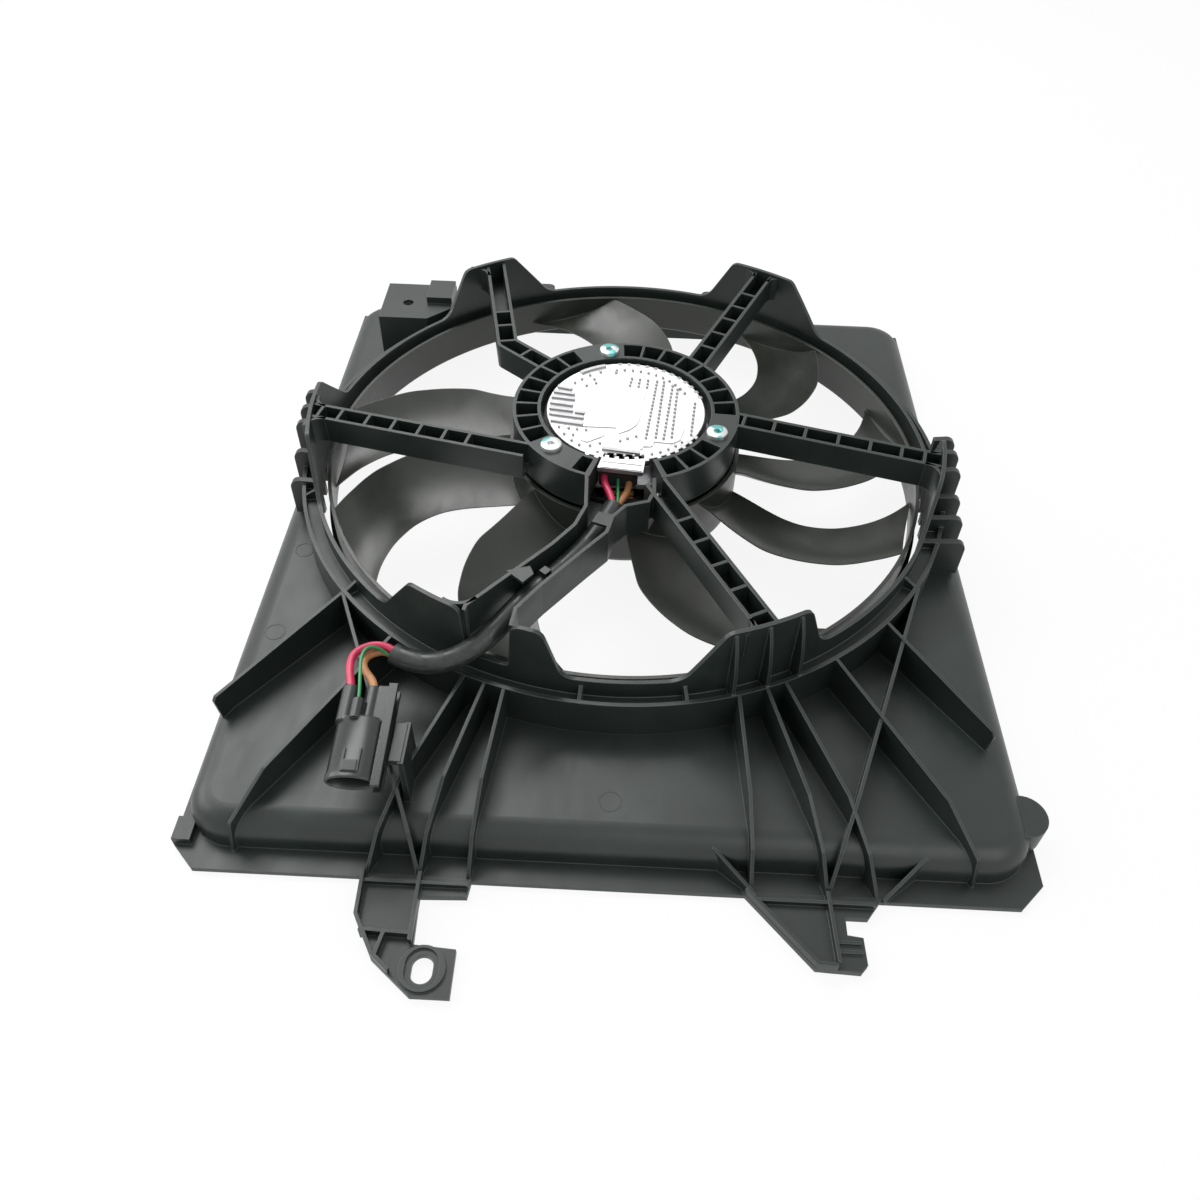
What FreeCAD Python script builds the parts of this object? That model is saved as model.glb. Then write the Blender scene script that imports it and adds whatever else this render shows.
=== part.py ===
import FreeCAD, Part
import math
import os

V = FreeCAD.Vector

# Place of the fan axis from the middle of the footprint
fan_axis_x = -2.5
fan_axis_y = 50.0

# Pan, the tray that lies on the radiator
pan_left = 228.0
pan_right = 228.0
pan_near = 288.0
pan_far = 226.0
pan_height = 24.0
pan_wall = 2.4
pan_corner = 26.0
pan_shoulder = 14.0
flange_thickness = 3.0
flange_side = 5.0
flange_near = 14.0
flange_far = 8.0
flange_corner_cut = 14.0

# Barrel round the fan
barrel_bore = 205.3
barrel_wall = 2.5
barrel_top = 57.6
barrel_foot = 40.0
gutter_floor = 45.5
gutter_lip_radius = 217.4
gutter_lip_top = 49.7
seam = 0.02
crest_top = 92.0
crest_rib_reach = 7.0

# Motor carrier, its ring and arms
carrier_radius = 75.0
carrier_bore = 56.5
carrier_top = 90.0
carrier_depth = 18.0
carrier_skirt = 8.0
carrier_wall = 2.2
pocket_floor = 3.0
pocket_pitch = 12.3
arm_width = 14.6
arm_floor = 2.4
rib_thickness = 2.0
bolt_circle = 64.5
bolt_boss = 9.5
channel_wall = 2.2
channel_floor = 2.4
channel_depth = 24.0
channel_floor_reach = 168.0

# Rotor
hub_radius = 78.0
hub_wall = 2.5
hub_front = 20.0
hub_rim = 62.0
band_radius = 200.3
band_wall = 2.4
band_front = 26.0
band_rear = 52.3
band_lip = 2.6
blade_thickness = 2.4
blade_camber = 0.10
pad_inner = 28.0
pad_outer = 42.0
fan_screw_circle = 35.0
fan_screw_radius = 2.5

# Motor
shaft_radius = 4.0
bearing_radius = 11.0
bearing_width = 7.0
bearing_running_gap = 0.05
press_gap = 0.02
tube_wall = 4.0
bell_radius = 63.2
bell_wall = 2.2
bell_front = 28.0
bell_rear = 62.0
magnet_thickness = 3.4
magnet_count = 14
air_gap = 1.0
stator_stack = 18.0
stator_front = 40.0
tooth_count = 12
tooth_width = 7.0
back_iron = 7.0
coil_side = 3.6
base_radius = 54.3
base_wall = 2.4
base_floor = 3.0
base_flange_radius = 70.5
base_flange_top = 72.0
base_flange_thickness = 4.0
cover_radius = 54.0
cover_bottom = 84.0
cover_thickness = 4.0
gasket_thickness = 0.8
board_thickness = 1.6
board_height = 77.0

# Fasteners
bolt_radius = 3.0
bolt_flange_radius = 7.0
bolt_flange_thickness = 1.8
bolt_head_across = 10.0
bolt_head_height = 5.0
hole_clearance = 0.4

# Cable, its leads and the plug
sleeve_diameter = 12.6
sleeve_bore = 11.2
lead_diameter = 4.5
signal_diameter = 1.8
lead_rise = 2.5
signal_shift = 4.3
plug_half_width = 18.5
plug_half_height = 14.5
plug_wall = 2.0
plug_tilt = 6.0
plug_mouth_y = -279.0
plug_mouth_z = 58.0
plug_centre_x = -132.0
plug_length = 37.0
tower_length = 19.0
lead_depth = 8.0
lead_entry = 10.0
POWER_HOLES = [(-8.5, 2.5), (5.5, 2.5)]
SIGNAL_HOLE = (-1.6, 6.5)

SLEEVE_ROUTE = [
    (-5.0, -84.0, 75.6),
    (-12.5, -106.0, 75.6),
    (-30.5, -136.0, 75.6),
    (-53.0, -164.3, 75.5),
    (-72.3, -189.8, 67.4),
    (-91.9, -200.0, 59.6),
    (-111.9, -199.8, 57.2),
    (-123.4, -194.7, 58.8),
]
LEADS_BEYOND = [(-120.6, -196.0, 58.4), (-128.1, -192.3, 59.8)]
RED_START = [(-12.0, -56.5, 78.1), (-12.0, -63.5, 78.1), (-8.0, -73.0, 78.1)]
RED_END = [(-135.2, -192.8, 62.9), (-141.2, -196.6, 63.5), (-144.6, -202.8, 64.6), (-143.8, -212.5, 65.6)]
ORANGE_START = [(4.0, -56.5, 73.1), (4.0, -63.5, 73.1), (0.5, -73.0, 73.1)]
ORANGE_END = [(-134.2, -193.4, 57.5), (-138.5, -198.2, 58.5), (-138.8, -205.0, 60.2), (-134.8, -211.9, 62.2),
              (-129.6, -218.2, 64.4)]
GREEN_START = [(-3.0, -56.5, 76.2), (-3.0, -63.5, 76.2), (-2.4, -74.0, 76.0)]
GREEN_END = [(-130.5, -196.8, 65.5), (-135.5, -199.5, 70.3), (-137.0, -207.0, 71.5), (-135.5, -217.0, 70.9)]

# Arms from the carrier ring to the barrel: inner point, further points, rib stations from the first point
ARMS = [
    ([(-62.0, -49.0), (-215.0, -15.0)], [39.0, 55.0, 72.0, 90.0, 108.0, 127.0, 141.0]),
    ([(66.0, -6.4), (214.0, -45.0)], [12.0, 32.0, 52.5, 74.0, 94.5, 114.5, 129.0]),
    ([(40.0, 37.5), (119.0, 215.0)], [40.5, 60.5, 81.0, 100.0, 120.0]),
    ([(-46.0, 37.0), (-86.0, 70.0), (-113.5, 214.0)], [13.5, 33.5, 54.0, 74.0, 92.0]),
    ([(20.0, -74.0), (94.0, -212.0)], [37.5, 57.5, 78.5, 99.5, 120.5]),
]

# Bolts of the motor by angle, and where the ring opens for the leads
BOLT_ANGLES = [-23.0, 102.0, 224.0]
RING_START = -71.0
RING_END = 254.0
PAD_BEFORE = 8.5
PAD_AFTER = 19.0

# Crests that carry the arms: angles at the rim, angles at the top, angles of their outer ribs
CRESTS = [
    (44.9, 72.6, 53.3, 67.3, [54.5, 60.0, 66.0]),
    (108.9, 133.4, 116.7, 128.2, [118.5, 123.0, 127.0]),
    (167.2, 200.0, 176.9, 193.0, []),
    (229.0, 244.6, 236.0, 244.4, [232.0]),
    (253.7, 262.0, 253.8, 259.0, []),
    (280.6, 304.3, 286.9, 300.9, [288.0, 293.5, 299.0]),
    (334.0, 358.0, 341.0, 354.0, []),
]
GUTTER_WEBS = [-139.5, -95.0, -79.0, -32.2, 28.0, 85.0, 101.0, 148.0, -165.0]

# Ribs of the pan: angle where they leave the barrel, and their end near the flange
PAN_RIBS = [
    (-126.8, (-200.0, -290.5)),
    (-139.5, (-98.0, -301.0)),
    (-112.8, (-126.0, -301.0)),
    (-109.4, (-98.0, -301.0)),
    (-106.3, (-72.0, -301.0)),
    (-54.1, (195.0, -290.5)),
    (-32.2, (117.0, -301.0)),
    (-71.2, (77.0, -301.0)),
    (-66.7, (117.0, -301.0)),
    (-63.6, (143.0, -301.0)),
]
SIDE_RIBS = [(-139.5, (-222.0, -217.0)), (-42.2, (211.0, -216.0))]
RIB_RING_TOP = 49.5
RIB_BREAK_Y = -262.0
RIB_BREAK_TOP = 41.0
RIB_SHOULDER_Y = -287.0
RIB_SHOULDER_TOP = 25.0
RIB_FOOT_TOP = 4.5
SIDE_RIB_TOP = 41.0

# Buttress fins beside the left and right crest: y place, height
LEFT_FINS = [(31.0, 76.0), (16.0, 78.0), (1.0, 78.0), (-14.0, 76.0), (-32.0, 60.0), (-50.0, 52.0)]
RIGHT_FINS = [(5.0, 76.0), (-8.0, 78.0), (-21.0, 78.0), (-34.0, 74.0), (-50.0, 60.0), (-66.0, 52.0)]
fin_reach = 231.0
fin_thickness = 4.0

# Blades: angle of the raised edge at the tip, then the shape by radius
BLADE_ANGLES = [92.0, 45.0, 9.0, -24.0, -65.0, -112.0, -153.0, 165.0]
BLADE_SECTIONS = [
    (74.0, -20.0, 2.5, 26.0, 55.0),
    (100.0, -22.0, 1.0, 26.0, 55.0),
    (128.0, -20.0, 2.0, 26.5, 54.0),
    (150.0, -16.0, 4.5, 27.0, 53.0),
    (168.0, -10.8, 8.0, 27.5, 52.0),
    (184.0, -5.2, 12.0, 28.0, 51.0),
    (203.0, 1.2, 18.2, 28.8, 49.6),
]

# Lower mounting brackets and the loom box
loom_hole_radius = 4.2
ear_hole_radius = 4.0
bracket_thickness = 4.0
bracket_rib_height = 9.0
slot_width = 11.0
slot_length = 15.0
slot_x = -88.5
slot_y = -350.5
slot_pad = 12.0
LEFT_BRACKET = [(-128.0, -300.0), (-127.0, -325.0), (-115.0, -346.0), (-93.0, -364.0), (-73.0, -364.0),
                (-73.0, -339.5), (-95.0, -338.0), (-96.0, -312.0), (-71.5, -311.0), (-70.0, -300.0)]
RIGHT_BRACKET = [(72.0, -300.0), (107.0, -340.0), (130.0, -341.0), (133.5, -337.0), (133.0, -322.5),
                 (125.0, -321.5), (125.0, -312.0), (137.0, -312.0), (146.0, -300.0)]


def polar(radius, degrees, z=0.0):
    angle = math.radians(degrees)
    return V(radius * math.cos(angle), radius * math.sin(angle), z)


def prism(points, low, high):
    corners = [V(x, y, low) for x, y in points]
    face = Part.Face(Part.makePolygon(corners + corners[:1]))
    return face.extrude(V(0, 0, high - low))


def disc(radius, low, high, x=0.0, y=0.0):
    return Part.makeCylinder(radius, high - low, V(x, y, low))


def ring(outer, inner, low, high):
    return disc(outer, low, high).cut(disc(inner, low - 1, high + 1))


def sector(inner, outer, low, high, start, end):
    full = Part.makeCylinder(outer, high - low, V(0, 0, low), V(0, 0, 1), end - start)
    full.rotate(V(0, 0, 0), V(0, 0, 1), start)
    return full.cut(disc(inner, low - 1, high + 1))


def revolved(profile):
    corners = [V(radius, 0, z) for radius, z in profile]
    face = Part.Face(Part.makePolygon(corners + corners[:1]))
    return face.revolve(V(0, 0, 0), V(0, 0, 1), 360)


def joined(shapes):
    return shapes[0].multiFuse(shapes[1:]).removeSplitter()


def beam(start, end, half_width, low, high):
    along = V(end[0] - start[0], end[1] - start[1], 0)
    along.normalize()
    side = V(-along.y, along.x, 0) * half_width
    a = V(start[0], start[1], 0)
    b = V(end[0], end[1], 0)
    corners = [a + side, a - side, b - side, b + side]
    return prism([(c.x, c.y) for c in corners], low, high)


def radial_plate(profile, degrees, thickness):
    corners = [V(radius, -thickness / 2, z) for radius, z in profile]
    face = Part.Face(Part.makePolygon(corners + corners[:1]))
    plate = face.extrude(V(0, thickness, 0))
    plate.rotate(V(0, 0, 0), V(0, 0, 1), degrees)
    return plate


def upright_plate(start, end, profile, thickness):
    """A plate standing on the line from start to end; profile holds (distance, z)."""
    along = V(end[0] - start[0], end[1] - start[1], 0)
    along.normalize()
    side = V(-along.y, along.x, 0) * thickness
    origin = V(start[0], start[1], 0) - side * 0.5
    corners = [origin + along * distance + V(0, 0, z) for distance, z in profile]
    return Part.Face(Part.makePolygon(corners + corners[:1])).extrude(side)


def rounded_block(left, right, near, far, corner, low, high):
    block = Part.makeBox(left + right, near + far, high - low, V(-left, -near, low))
    upright = [e for e in block.Edges if abs(e.Vertexes[0].Z - e.Vertexes[1].Z) > 1]
    return block.makeFillet(corner, upright)


def shouldered(block, top, radius):
    rim = [e for e in block.Edges if all(abs(v.Z - top) < 0.01 for v in e.Vertexes)]
    return block.makeFillet(radius, rim)


def slotted_hole(x, y, width, length, low, high):
    half = (length - width) / 2
    ends = [disc(width / 2, low, high, x, y - half), disc(width / 2, low, high, x, y + half)]
    middle = Part.makeBox(width, 2 * half, high - low, V(x - width / 2, y - half, low))
    return joined(ends + [middle])


def pan_inside():
    block = rounded_block(pan_left - pan_wall, pan_right - pan_wall, pan_near - pan_wall,
                          pan_far - pan_wall, pan_corner - pan_wall, -1.0, pan_height - pan_wall)
    return shouldered(block, pan_height - pan_wall, pan_shoulder - pan_wall)


def pan_flange():
    left = pan_left + flange_side
    right = pan_right + flange_side
    near = pan_near + flange_near
    far = pan_far + flange_far
    cut = flange_corner_cut
    outline = [(-left, -near + cut), (-left + cut, -near), (right - cut, -near), (right, -near + cut),
               (right, far), (-left, far)]
    return prism(outline, 0.0, flange_thickness)


def pan_rib(start_degrees, end):
    start = polar(gutter_lip_radius + seam, start_degrees)
    length = math.hypot(end[0] - start.x, end[1] - start.y)
    to_break = length * (start.y - RIB_BREAK_Y) / (start.y - end[1])
    to_shoulder = length * (start.y - RIB_SHOULDER_Y) / (start.y - end[1])
    profile = [(0, pan_height - pan_wall / 2), (0, RIB_RING_TOP), (to_break, RIB_BREAK_TOP),
               (to_shoulder, RIB_SHOULDER_TOP), (length, RIB_FOOT_TOP), (length, flange_thickness / 2)]
    return upright_plate((start.x, start.y), end, profile, rib_thickness)


def side_rib(start_degrees, end):
    start = polar(gutter_lip_radius + seam, start_degrees)
    length = math.hypot(end[0] - start.x, end[1] - start.y)
    profile = [(0, pan_height - pan_wall / 2), (0, RIB_RING_TOP), (length, SIDE_RIB_TOP),
               (length + 2.0, SIDE_RIB_TOP - 3.0), (length, pan_height - 8.0)]
    return upright_plate((start.x, start.y), end, profile, rib_thickness)


def outline_rib(points, height, thickness):
    pieces = []
    for start, end in zip(points, points[1:]):
        pieces.append(beam(start, end, thickness / 2, 0.0, height))
        pieces.append(disc(thickness / 2, 0.0, height, end[0], end[1]))
    return pieces


def left_bracket():
    plate = prism(LEFT_BRACKET, 0.0, bracket_thickness)
    walls = outline_rib([(-127.0, -300.0), (-126.0, -325.0), (-114.4, -345.0), (-105.0, -352.8)],
                        bracket_rib_height, rib_thickness)
    walls += outline_rib([(-97.0, -300.0), (-96.5, -337.0)], bracket_rib_height, rib_thickness)
    walls += outline_rib([(-123.0, -333.0), (-96.5, -334.0)], bracket_rib_height, rib_thickness)
    walls += outline_rib([(-110.0, -333.5), (-112.5, -346.0)], bracket_rib_height, rib_thickness)
    walls += outline_rib([(-126.0, -305.5), (-72.0, -305.5)], bracket_rib_height - 1.5, rib_thickness)
    pad = disc(slot_pad, 0.0, bracket_thickness + 1.5, slot_x, slot_y)
    recess = slotted_hole(slot_x, slot_y, slot_width + 6.0, slot_length + 6.0,
                          bracket_thickness, bracket_thickness + 2.0)
    hole = slotted_hole(slot_x, slot_y, slot_width, slot_length, -1.0, bracket_thickness + 3.0)
    return joined([plate, pad] + walls).cut(recess).cut(hole)


def right_bracket():
    plate = prism(RIGHT_BRACKET, 0.0, bracket_thickness)
    walls = outline_rib([(74.0, -300.5), (107.7, -339.0), (117.0, -339.5)], bracket_rib_height, rib_thickness)
    walls += outline_rib([(116.5, -300.0), (118.5, -337.5)], bracket_rib_height, rib_thickness)
    walls += outline_rib([(79.0, -305.5), (140.0, -305.5)], bracket_rib_height - 1.5, rib_thickness)
    teeth = [Part.makeBox(12.0, 2.0, 1.6, V(119.5, y, bracket_thickness)) for y in (-327.0, -332.0)]
    return joined([plate] + walls + teeth)


def gusset_ribs():
    lines = [((56.0, -284.0), (80.0, -303.0)), ((168.0, -284.0), (146.0, -302.0))]
    profile_low = 1.0
    plates = []
    for start, end in lines:
        length = math.hypot(end[0] - start[0], end[1] - start[1])
        profile = [(0, profile_low), (0, 20.0), (length, 5.0), (length, profile_low)]
        plates.append(upright_plate(start, end, profile, rib_thickness))
    return plates


def harness_box():
    outline = [(-198.0, 150.0), (-160.0, 150.0), (-143.0, 166.0), (-143.0, 200.0), (-198.0, 200.0)]
    top = 56.0
    shell = prism(outline, pan_height - 1.0, top)
    inner = [(-195.6, 152.4), (-161.0, 152.4), (-145.4, 167.0), (-145.4, 197.6), (-195.6, 197.6)]
    block = Part.makeBox(20.0, 26.0, 6.0, V(-163.0, 172.0, top - 0.5))
    hole = disc(loom_hole_radius, top - 5.0, top + 1.0, -178.0, 172.0)
    return joined([shell, block]), prism(inner, -1.0, top - pan_wall).fuse(hole)


def far_ears():
    plates = []
    for left, right, reach in ((-93.0, -67.0, 264.0), (62.0, 82.0, 262.0)):
        plate = Part.makeBox(right - left, reach - 200.0, 3.0, V(left, 200.0, pan_height - 3.0))
        tips = [e for e in plate.Edges if abs(e.Vertexes[0].Z - e.Vertexes[1].Z) > 1 and e.Vertexes[0].Y > 230]
        plate = plate.makeFillet(5.0, tips)
        web = Part.makeBox(2.4, reach - 222.0, pan_height - 3.0, V((left + right) / 2, 222.0, 0.0))
        plates += [plate, web]
    hole = disc(ear_hole_radius, 0.0, pan_height + 2.0, -84.0, 254.0)
    return plates, hole


def plug_post():
    """Upright tongue that the plug's rail slides on."""
    return [Part.makeBox(3.0, 26.0, 38.0, V(-108.5, -268.0, pan_height - 2.0)),
            Part.makeBox(6.2, 24.0, 4.0, V(-113.2, -267.0, 56.6))]


def shroud_pan():
    block = rounded_block(pan_left, pan_right, pan_near, pan_far, pan_corner, 0.0, pan_height)
    body = shouldered(block, pan_height, pan_shoulder)
    ears, ear_hole = far_ears()
    box, box_inside = harness_box()
    lug = disc(13.0, 4.0, 20.0, 225.0, -256.0)
    corner_tab = Part.makeBox(10.0, 14.0, 8.0, V(-233.0, -288.0, 0.0))
    solids = [body, pan_flange(), left_bracket(), right_bracket(), box, lug, corner_tab]
    solids += ears
    solids += [pan_rib(angle, end) for angle, end in PAN_RIBS]
    solids += [side_rib(angle, end) for angle, end in SIDE_RIBS]
    solids += gusset_ribs()
    solids += plug_post()
    whole = solids[0].multiFuse(solids[1:])
    opening = disc(gutter_lip_radius + seam, -5.0, pan_height + 60.0)
    whole = whole.cut([pan_inside(), opening, box_inside, ear_hole])
    return whole.removeSplitter()


def crest(rim_start, rim_end, top_start, top_end):
    wall = ring(barrel_bore + barrel_wall, barrel_bore, barrel_top - 1.0, crest_top)
    middle = (rim_start + rim_end) / 2
    outward = polar(1.0, middle)
    inner = 0.6 * barrel_bore
    corners = []
    for degrees, z in ((rim_start, barrel_top - 1.0), (rim_end, barrel_top - 1.0),
                       (top_end, crest_top + 0.1), (top_start, crest_top + 0.1)):
        across = barrel_bore * math.sin(math.radians(degrees - middle))
        corners.append(outward * inner + V(-outward.y, outward.x, 0) * across + V(0, 0, z))
    wedge = Part.Face(Part.makePolygon(corners + corners[:1])).extrude(outward * barrel_bore)
    return wall.common(wedge)


def crest_rib(degrees):
    outer = barrel_bore + barrel_wall
    profile = [(outer - 1.0, gutter_floor - 1.0), (gutter_lip_radius - 1.0, gutter_floor - 1.0),
               (gutter_lip_radius - 1.0, gutter_lip_top), (outer + crest_rib_reach, 66.0),
               (outer + 4.0, 80.0), (outer + 0.8, crest_top - 2.0), (outer - 1.0, crest_top - 2.0)]
    return radial_plate(profile, degrees, rib_thickness)


def side_fin(side, y, height):
    """Rounded buttress from the crest wall out over the pan."""
    inner = math.sqrt(barrel_bore ** 2 - y ** 2) + barrel_wall / 2
    corner = 9.0
    low = pan_height + seam
    corners = [V(inner, y, low), V(fin_reach, y, low), V(fin_reach, y, height - corner),
               V(fin_reach - corner, y, height), V(inner, y, height - 2.0)]
    arc_middle = V(fin_reach - corner * 0.29, y, height - corner * 0.29)
    edges = [Part.LineSegment(corners[0], corners[1]).toShape(),
             Part.LineSegment(corners[1], corners[2]).toShape(),
             Part.Arc(corners[2], arc_middle, corners[3]).toShape(),
             Part.LineSegment(corners[3], corners[4]).toShape(),
             Part.LineSegment(corners[4], corners[0]).toShape()]
    fin = Part.Face(Part.Wire(edges)).extrude(V(0, fin_thickness, 0))
    if side < 0:
        fin = fin.mirror(V(0, 0, 0), V(1, 0, 0))
    return fin


def shroud_barrel():
    outer = barrel_bore + barrel_wall
    lip_inner = gutter_lip_radius - barrel_wall
    skirt_foot = pan_height - pan_wall
    profile = [(barrel_bore, barrel_foot), (barrel_bore, barrel_top), (outer, barrel_top),
               (outer, gutter_floor), (lip_inner, gutter_floor), (lip_inner, gutter_lip_top),
               (gutter_lip_radius, gutter_lip_top), (gutter_lip_radius, skirt_foot), (lip_inner, skirt_foot),
               (lip_inner, gutter_floor - barrel_wall), (outer, gutter_floor - barrel_wall),
               (outer, barrel_foot)]
    solids = [revolved(profile)]
    for rim_start, rim_end, top_start, top_end, ribs in CRESTS:
        solids.append(crest(rim_start, rim_end, top_start, top_end))
        solids += [crest_rib(angle) for angle in ribs]
    web = [(outer - 1.0, gutter_floor - 1.0), (lip_inner + 1.0, gutter_floor - 1.0),
           (lip_inner + 1.0, gutter_lip_top - 0.5), (outer - 1.0, gutter_lip_top + 4.0)]
    solids += [radial_plate(web, angle, rib_thickness) for angle in GUTTER_WEBS]
    solids += [side_fin(-1, y, height) for y, height in LEFT_FINS]
    solids += [side_fin(1, y, height) for y, height in RIGHT_FINS]
    return joined(solids)


def arm_points_along(points, distance):
    """Point and direction at a distance along an arm's centre line."""
    left = distance
    for start, end in zip(points, points[1:]):
        run = math.hypot(end[0] - start[0], end[1] - start[1])
        if left <= run or end == points[-1]:
            along = V((end[0] - start[0]) / run, (end[1] - start[1]) / run, 0)
            return V(start[0], start[1], 0) + along * left, along
        left -= run


def arm(points, rib_places):
    low = carrier_top - carrier_depth
    half = arm_width / 2
    inside = half - carrier_wall
    body = []
    hollow = []
    for start, end in zip(points, points[1:]):
        body.append(beam(start, end, half, low, carrier_top))
        hollow.append(beam(start, end, inside, low + arm_floor, carrier_top + 1))
    for x, y in points[1:-1]:
        body.append(disc(half, low, carrier_top, x, y))
        hollow.append(disc(inside, low + arm_floor, carrier_top + 1, x, y))
    ribs = []
    for distance in rib_places:
        middle, along = arm_points_along(points, distance)
        side = V(-along.y, along.x, 0) * (half - carrier_wall / 2)
        a = middle + side
        b = middle - side
        ribs.append(beam((a.x, a.y), (b.x, b.y), rib_thickness / 2, low, carrier_top))
    trough = joined(body).cut(joined(hollow))
    return joined([trough] + ribs)


def ring_pockets():
    """Pockets of the carrier ring, spread evenly between the bolt pads."""
    low = carrier_top - carrier_depth + pocket_floor
    edges = [RING_START + 2.0]
    for angle in BOLT_ANGLES:
        edges += [angle - PAD_BEFORE, angle + PAD_AFTER]
    edges.append(RING_END - 2.0)
    rib_angle = math.degrees(rib_thickness / carrier_radius)
    pockets = []
    for start, end in zip(edges[0::2], edges[1::2]):
        count = max(1, round((end - start) / pocket_pitch))
        pitch = (end - start) / count
        for index in range(count):
            first = start + index * pitch + rib_angle / 2
            pockets.append(sector(carrier_bore + carrier_wall, carrier_radius - carrier_wall, low,
                                  carrier_top + 1, first, first + pitch - rib_angle))
    return pockets


CHANNEL_OUTLINE = [(-23.5, -68.0), (-22.5, -99.0), (-28.0, -115.5), (-40.0, -132.5), (-61.0, -157.0),
                   (-83.5, -183.5), (-86.5, -204.0), (-56.0, -204.0), (-54.0, -185.0), (-42.0, -167.0),
                   (-20.0, -138.0), (-7.0, -121.5), (-4.0, -108.0), (3.0, -98.5), (17.0, -93.5),
                   (20.5, -84.0), (20.5, -68.0)]


def cable_channel():
    low = carrier_top - channel_depth
    outer = prism(CHANNEL_OUTLINE, low, carrier_top)
    rim = Part.Face(Part.makePolygon([V(x, y, 0) for x, y in CHANNEL_OUTLINE + CHANNEL_OUTLINE[:1]]))
    inner_face = rim.makeOffset2D(-channel_wall, 2)
    inner = inner_face.extrude(V(0, 0, channel_depth + 5))
    inner.translate(V(0, 0, low + channel_floor))
    motor_end = Part.makeBox(20.5 + 23.5 - 2 * channel_wall, 12.0, channel_depth + 5,
                             V(-23.5 + channel_wall, -74.0, low + channel_floor))
    far_end = Part.makeBox(26.0, 10.0, channel_depth + 5, V(-84.2, -210.0, low + channel_floor))
    open_floor = ring(2 * barrel_bore, channel_floor_reach, low - 1, low + channel_floor + 1)
    open_floor = open_floor.common(inner_face.extrude(V(0, 0, 100)).fuse(
        Part.makeBox(26.0, 10.0, 100, V(-84.2, -210.0, 0))))
    return outer.cut([inner, motor_end, far_end, open_floor])


def channel_tabs():
    """Two hooks on the channel walls that keep the cable down."""
    right_tab = prism([(-17.0, -113.0), (-13.5, -104.0), (-4.0, -106.5), (-6.0, -117.0)],
                      carrier_top - 2.0, carrier_top)
    left_tab = prism([(-63.0, -156.5), (-50.0, -152.0), (-47.5, -158.0), (-53.0, -165.0)],
                     carrier_top - 2.0, carrier_top)
    return [right_tab, left_tab]


def motor_carrier():
    low = carrier_top - carrier_depth
    rim = sector(carrier_bore, carrier_radius, low, carrier_top, RING_START, RING_END)
    skirt = sector(carrier_radius - carrier_wall, carrier_radius, low - carrier_skirt, low,
                   RING_START, RING_END)
    spokes = [arm(points, ribs) for points, ribs in ARMS]
    inside = disc(carrier_radius - carrier_wall / 2, low - 20, carrier_top + 20)
    reach = ring(300.0, barrel_bore - seam, low - 30, carrier_top + 20)
    spokes = joined(spokes + [cable_channel()]).cut([inside, reach])
    body = joined([rim.cut(ring_pockets()), skirt, spokes] + channel_tabs())
    holes = []
    for angle in BOLT_ANGLES:
        place = polar(bolt_circle, angle)
        holes.append(disc(bolt_radius + hole_clearance, low - 5, carrier_top + 5, place.x, place.y))
    return body.cut(holes)


def blade_section(radius, start, end, low, high):
    """Closed cambered strip across a blade at one radius, from the low edge to the raised edge."""
    raised = polar(radius, start, high)
    front = polar(radius, end, low)
    chord = raised - front
    outward = polar(1.0, (start + end) / 2)
    normal = chord.cross(outward)
    normal.normalize()
    if normal.z > 0:
        normal = normal * -1
    middle = (raised + front) * 0.5
    dip = normal * (chord.Length * blade_camber)
    half = normal * (blade_thickness / 2)
    thin = half * 0.45
    upper = Part.Arc(front - thin, middle + dip - half, raised - thin).toShape()
    lower = Part.Arc(raised + thin, middle + dip + half, front + thin).toShape()
    nose = Part.LineSegment(raised - thin, raised + thin).toShape()
    tail = Part.LineSegment(front + thin, front - thin).toShape()
    return Part.Wire([upper, nose, lower, tail])


def blade(angle):
    sections = [blade_section(radius, start, end, low, high)
                for radius, start, end, low, high in BLADE_SECTIONS]
    solid = Part.makeLoft(sections, True, False)
    solid.rotate(V(0, 0, 0), V(0, 0, 1), angle)
    return solid


def fan_band():
    inner = band_radius - band_wall
    profile = [(inner, band_front + 2.0), (inner, band_rear), (band_radius, band_rear),
               (band_radius, band_front + 4.0), (band_radius + band_lip, band_front + 1.5),
               (band_radius + band_lip, band_front), (inner + 2.0, band_front)]
    return revolved(profile)


def fan_hub():
    inner = hub_radius - hub_wall
    rounding = 6.0
    outer_profile = [(0, hub_front), (hub_radius - rounding, hub_front), (hub_radius - 1.8, hub_front + 1.8),
                     (hub_radius, hub_front + rounding), (hub_radius, hub_rim), (inner, hub_rim),
                     (inner, hub_front + hub_wall), (0, hub_front + hub_wall)]
    cup = revolved(outer_profile)
    pad = ring(pad_outer, pad_inner, hub_front + hub_wall / 2, bell_front)
    plate = [(bell_radius + 2.0, hub_front + hub_wall / 2), (inner + hub_wall / 2, hub_front + hub_wall / 2),
             (inner + hub_wall / 2, hub_rim - 8.0), (bell_radius + 2.0, hub_front + hub_wall + 5.0)]
    ribs = [radial_plate(plate, index * 360.0 / 16, rib_thickness) for index in range(16)]
    return joined([cup, pad] + ribs)


def cooling_fan():
    inside_band = disc(band_radius - band_wall / 2, -10.0, 120.0)
    hub_core = disc(hub_radius - hub_wall / 2, -10.0, 120.0)
    vanes = [blade(angle).common(inside_band).cut(hub_core) for angle in BLADE_ANGLES]
    holes = [disc(12.0, hub_front - 5, hub_front + 10)]
    for index in range(3):
        place = polar(fan_screw_circle, 90.0 + 120.0 * index)
        holes.append(disc(fan_screw_radius + press_gap, hub_front - 5, bell_front + 5, place.x, place.y))
    return joined([fan_hub(), fan_band()] + vanes).cut(holes)


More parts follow.
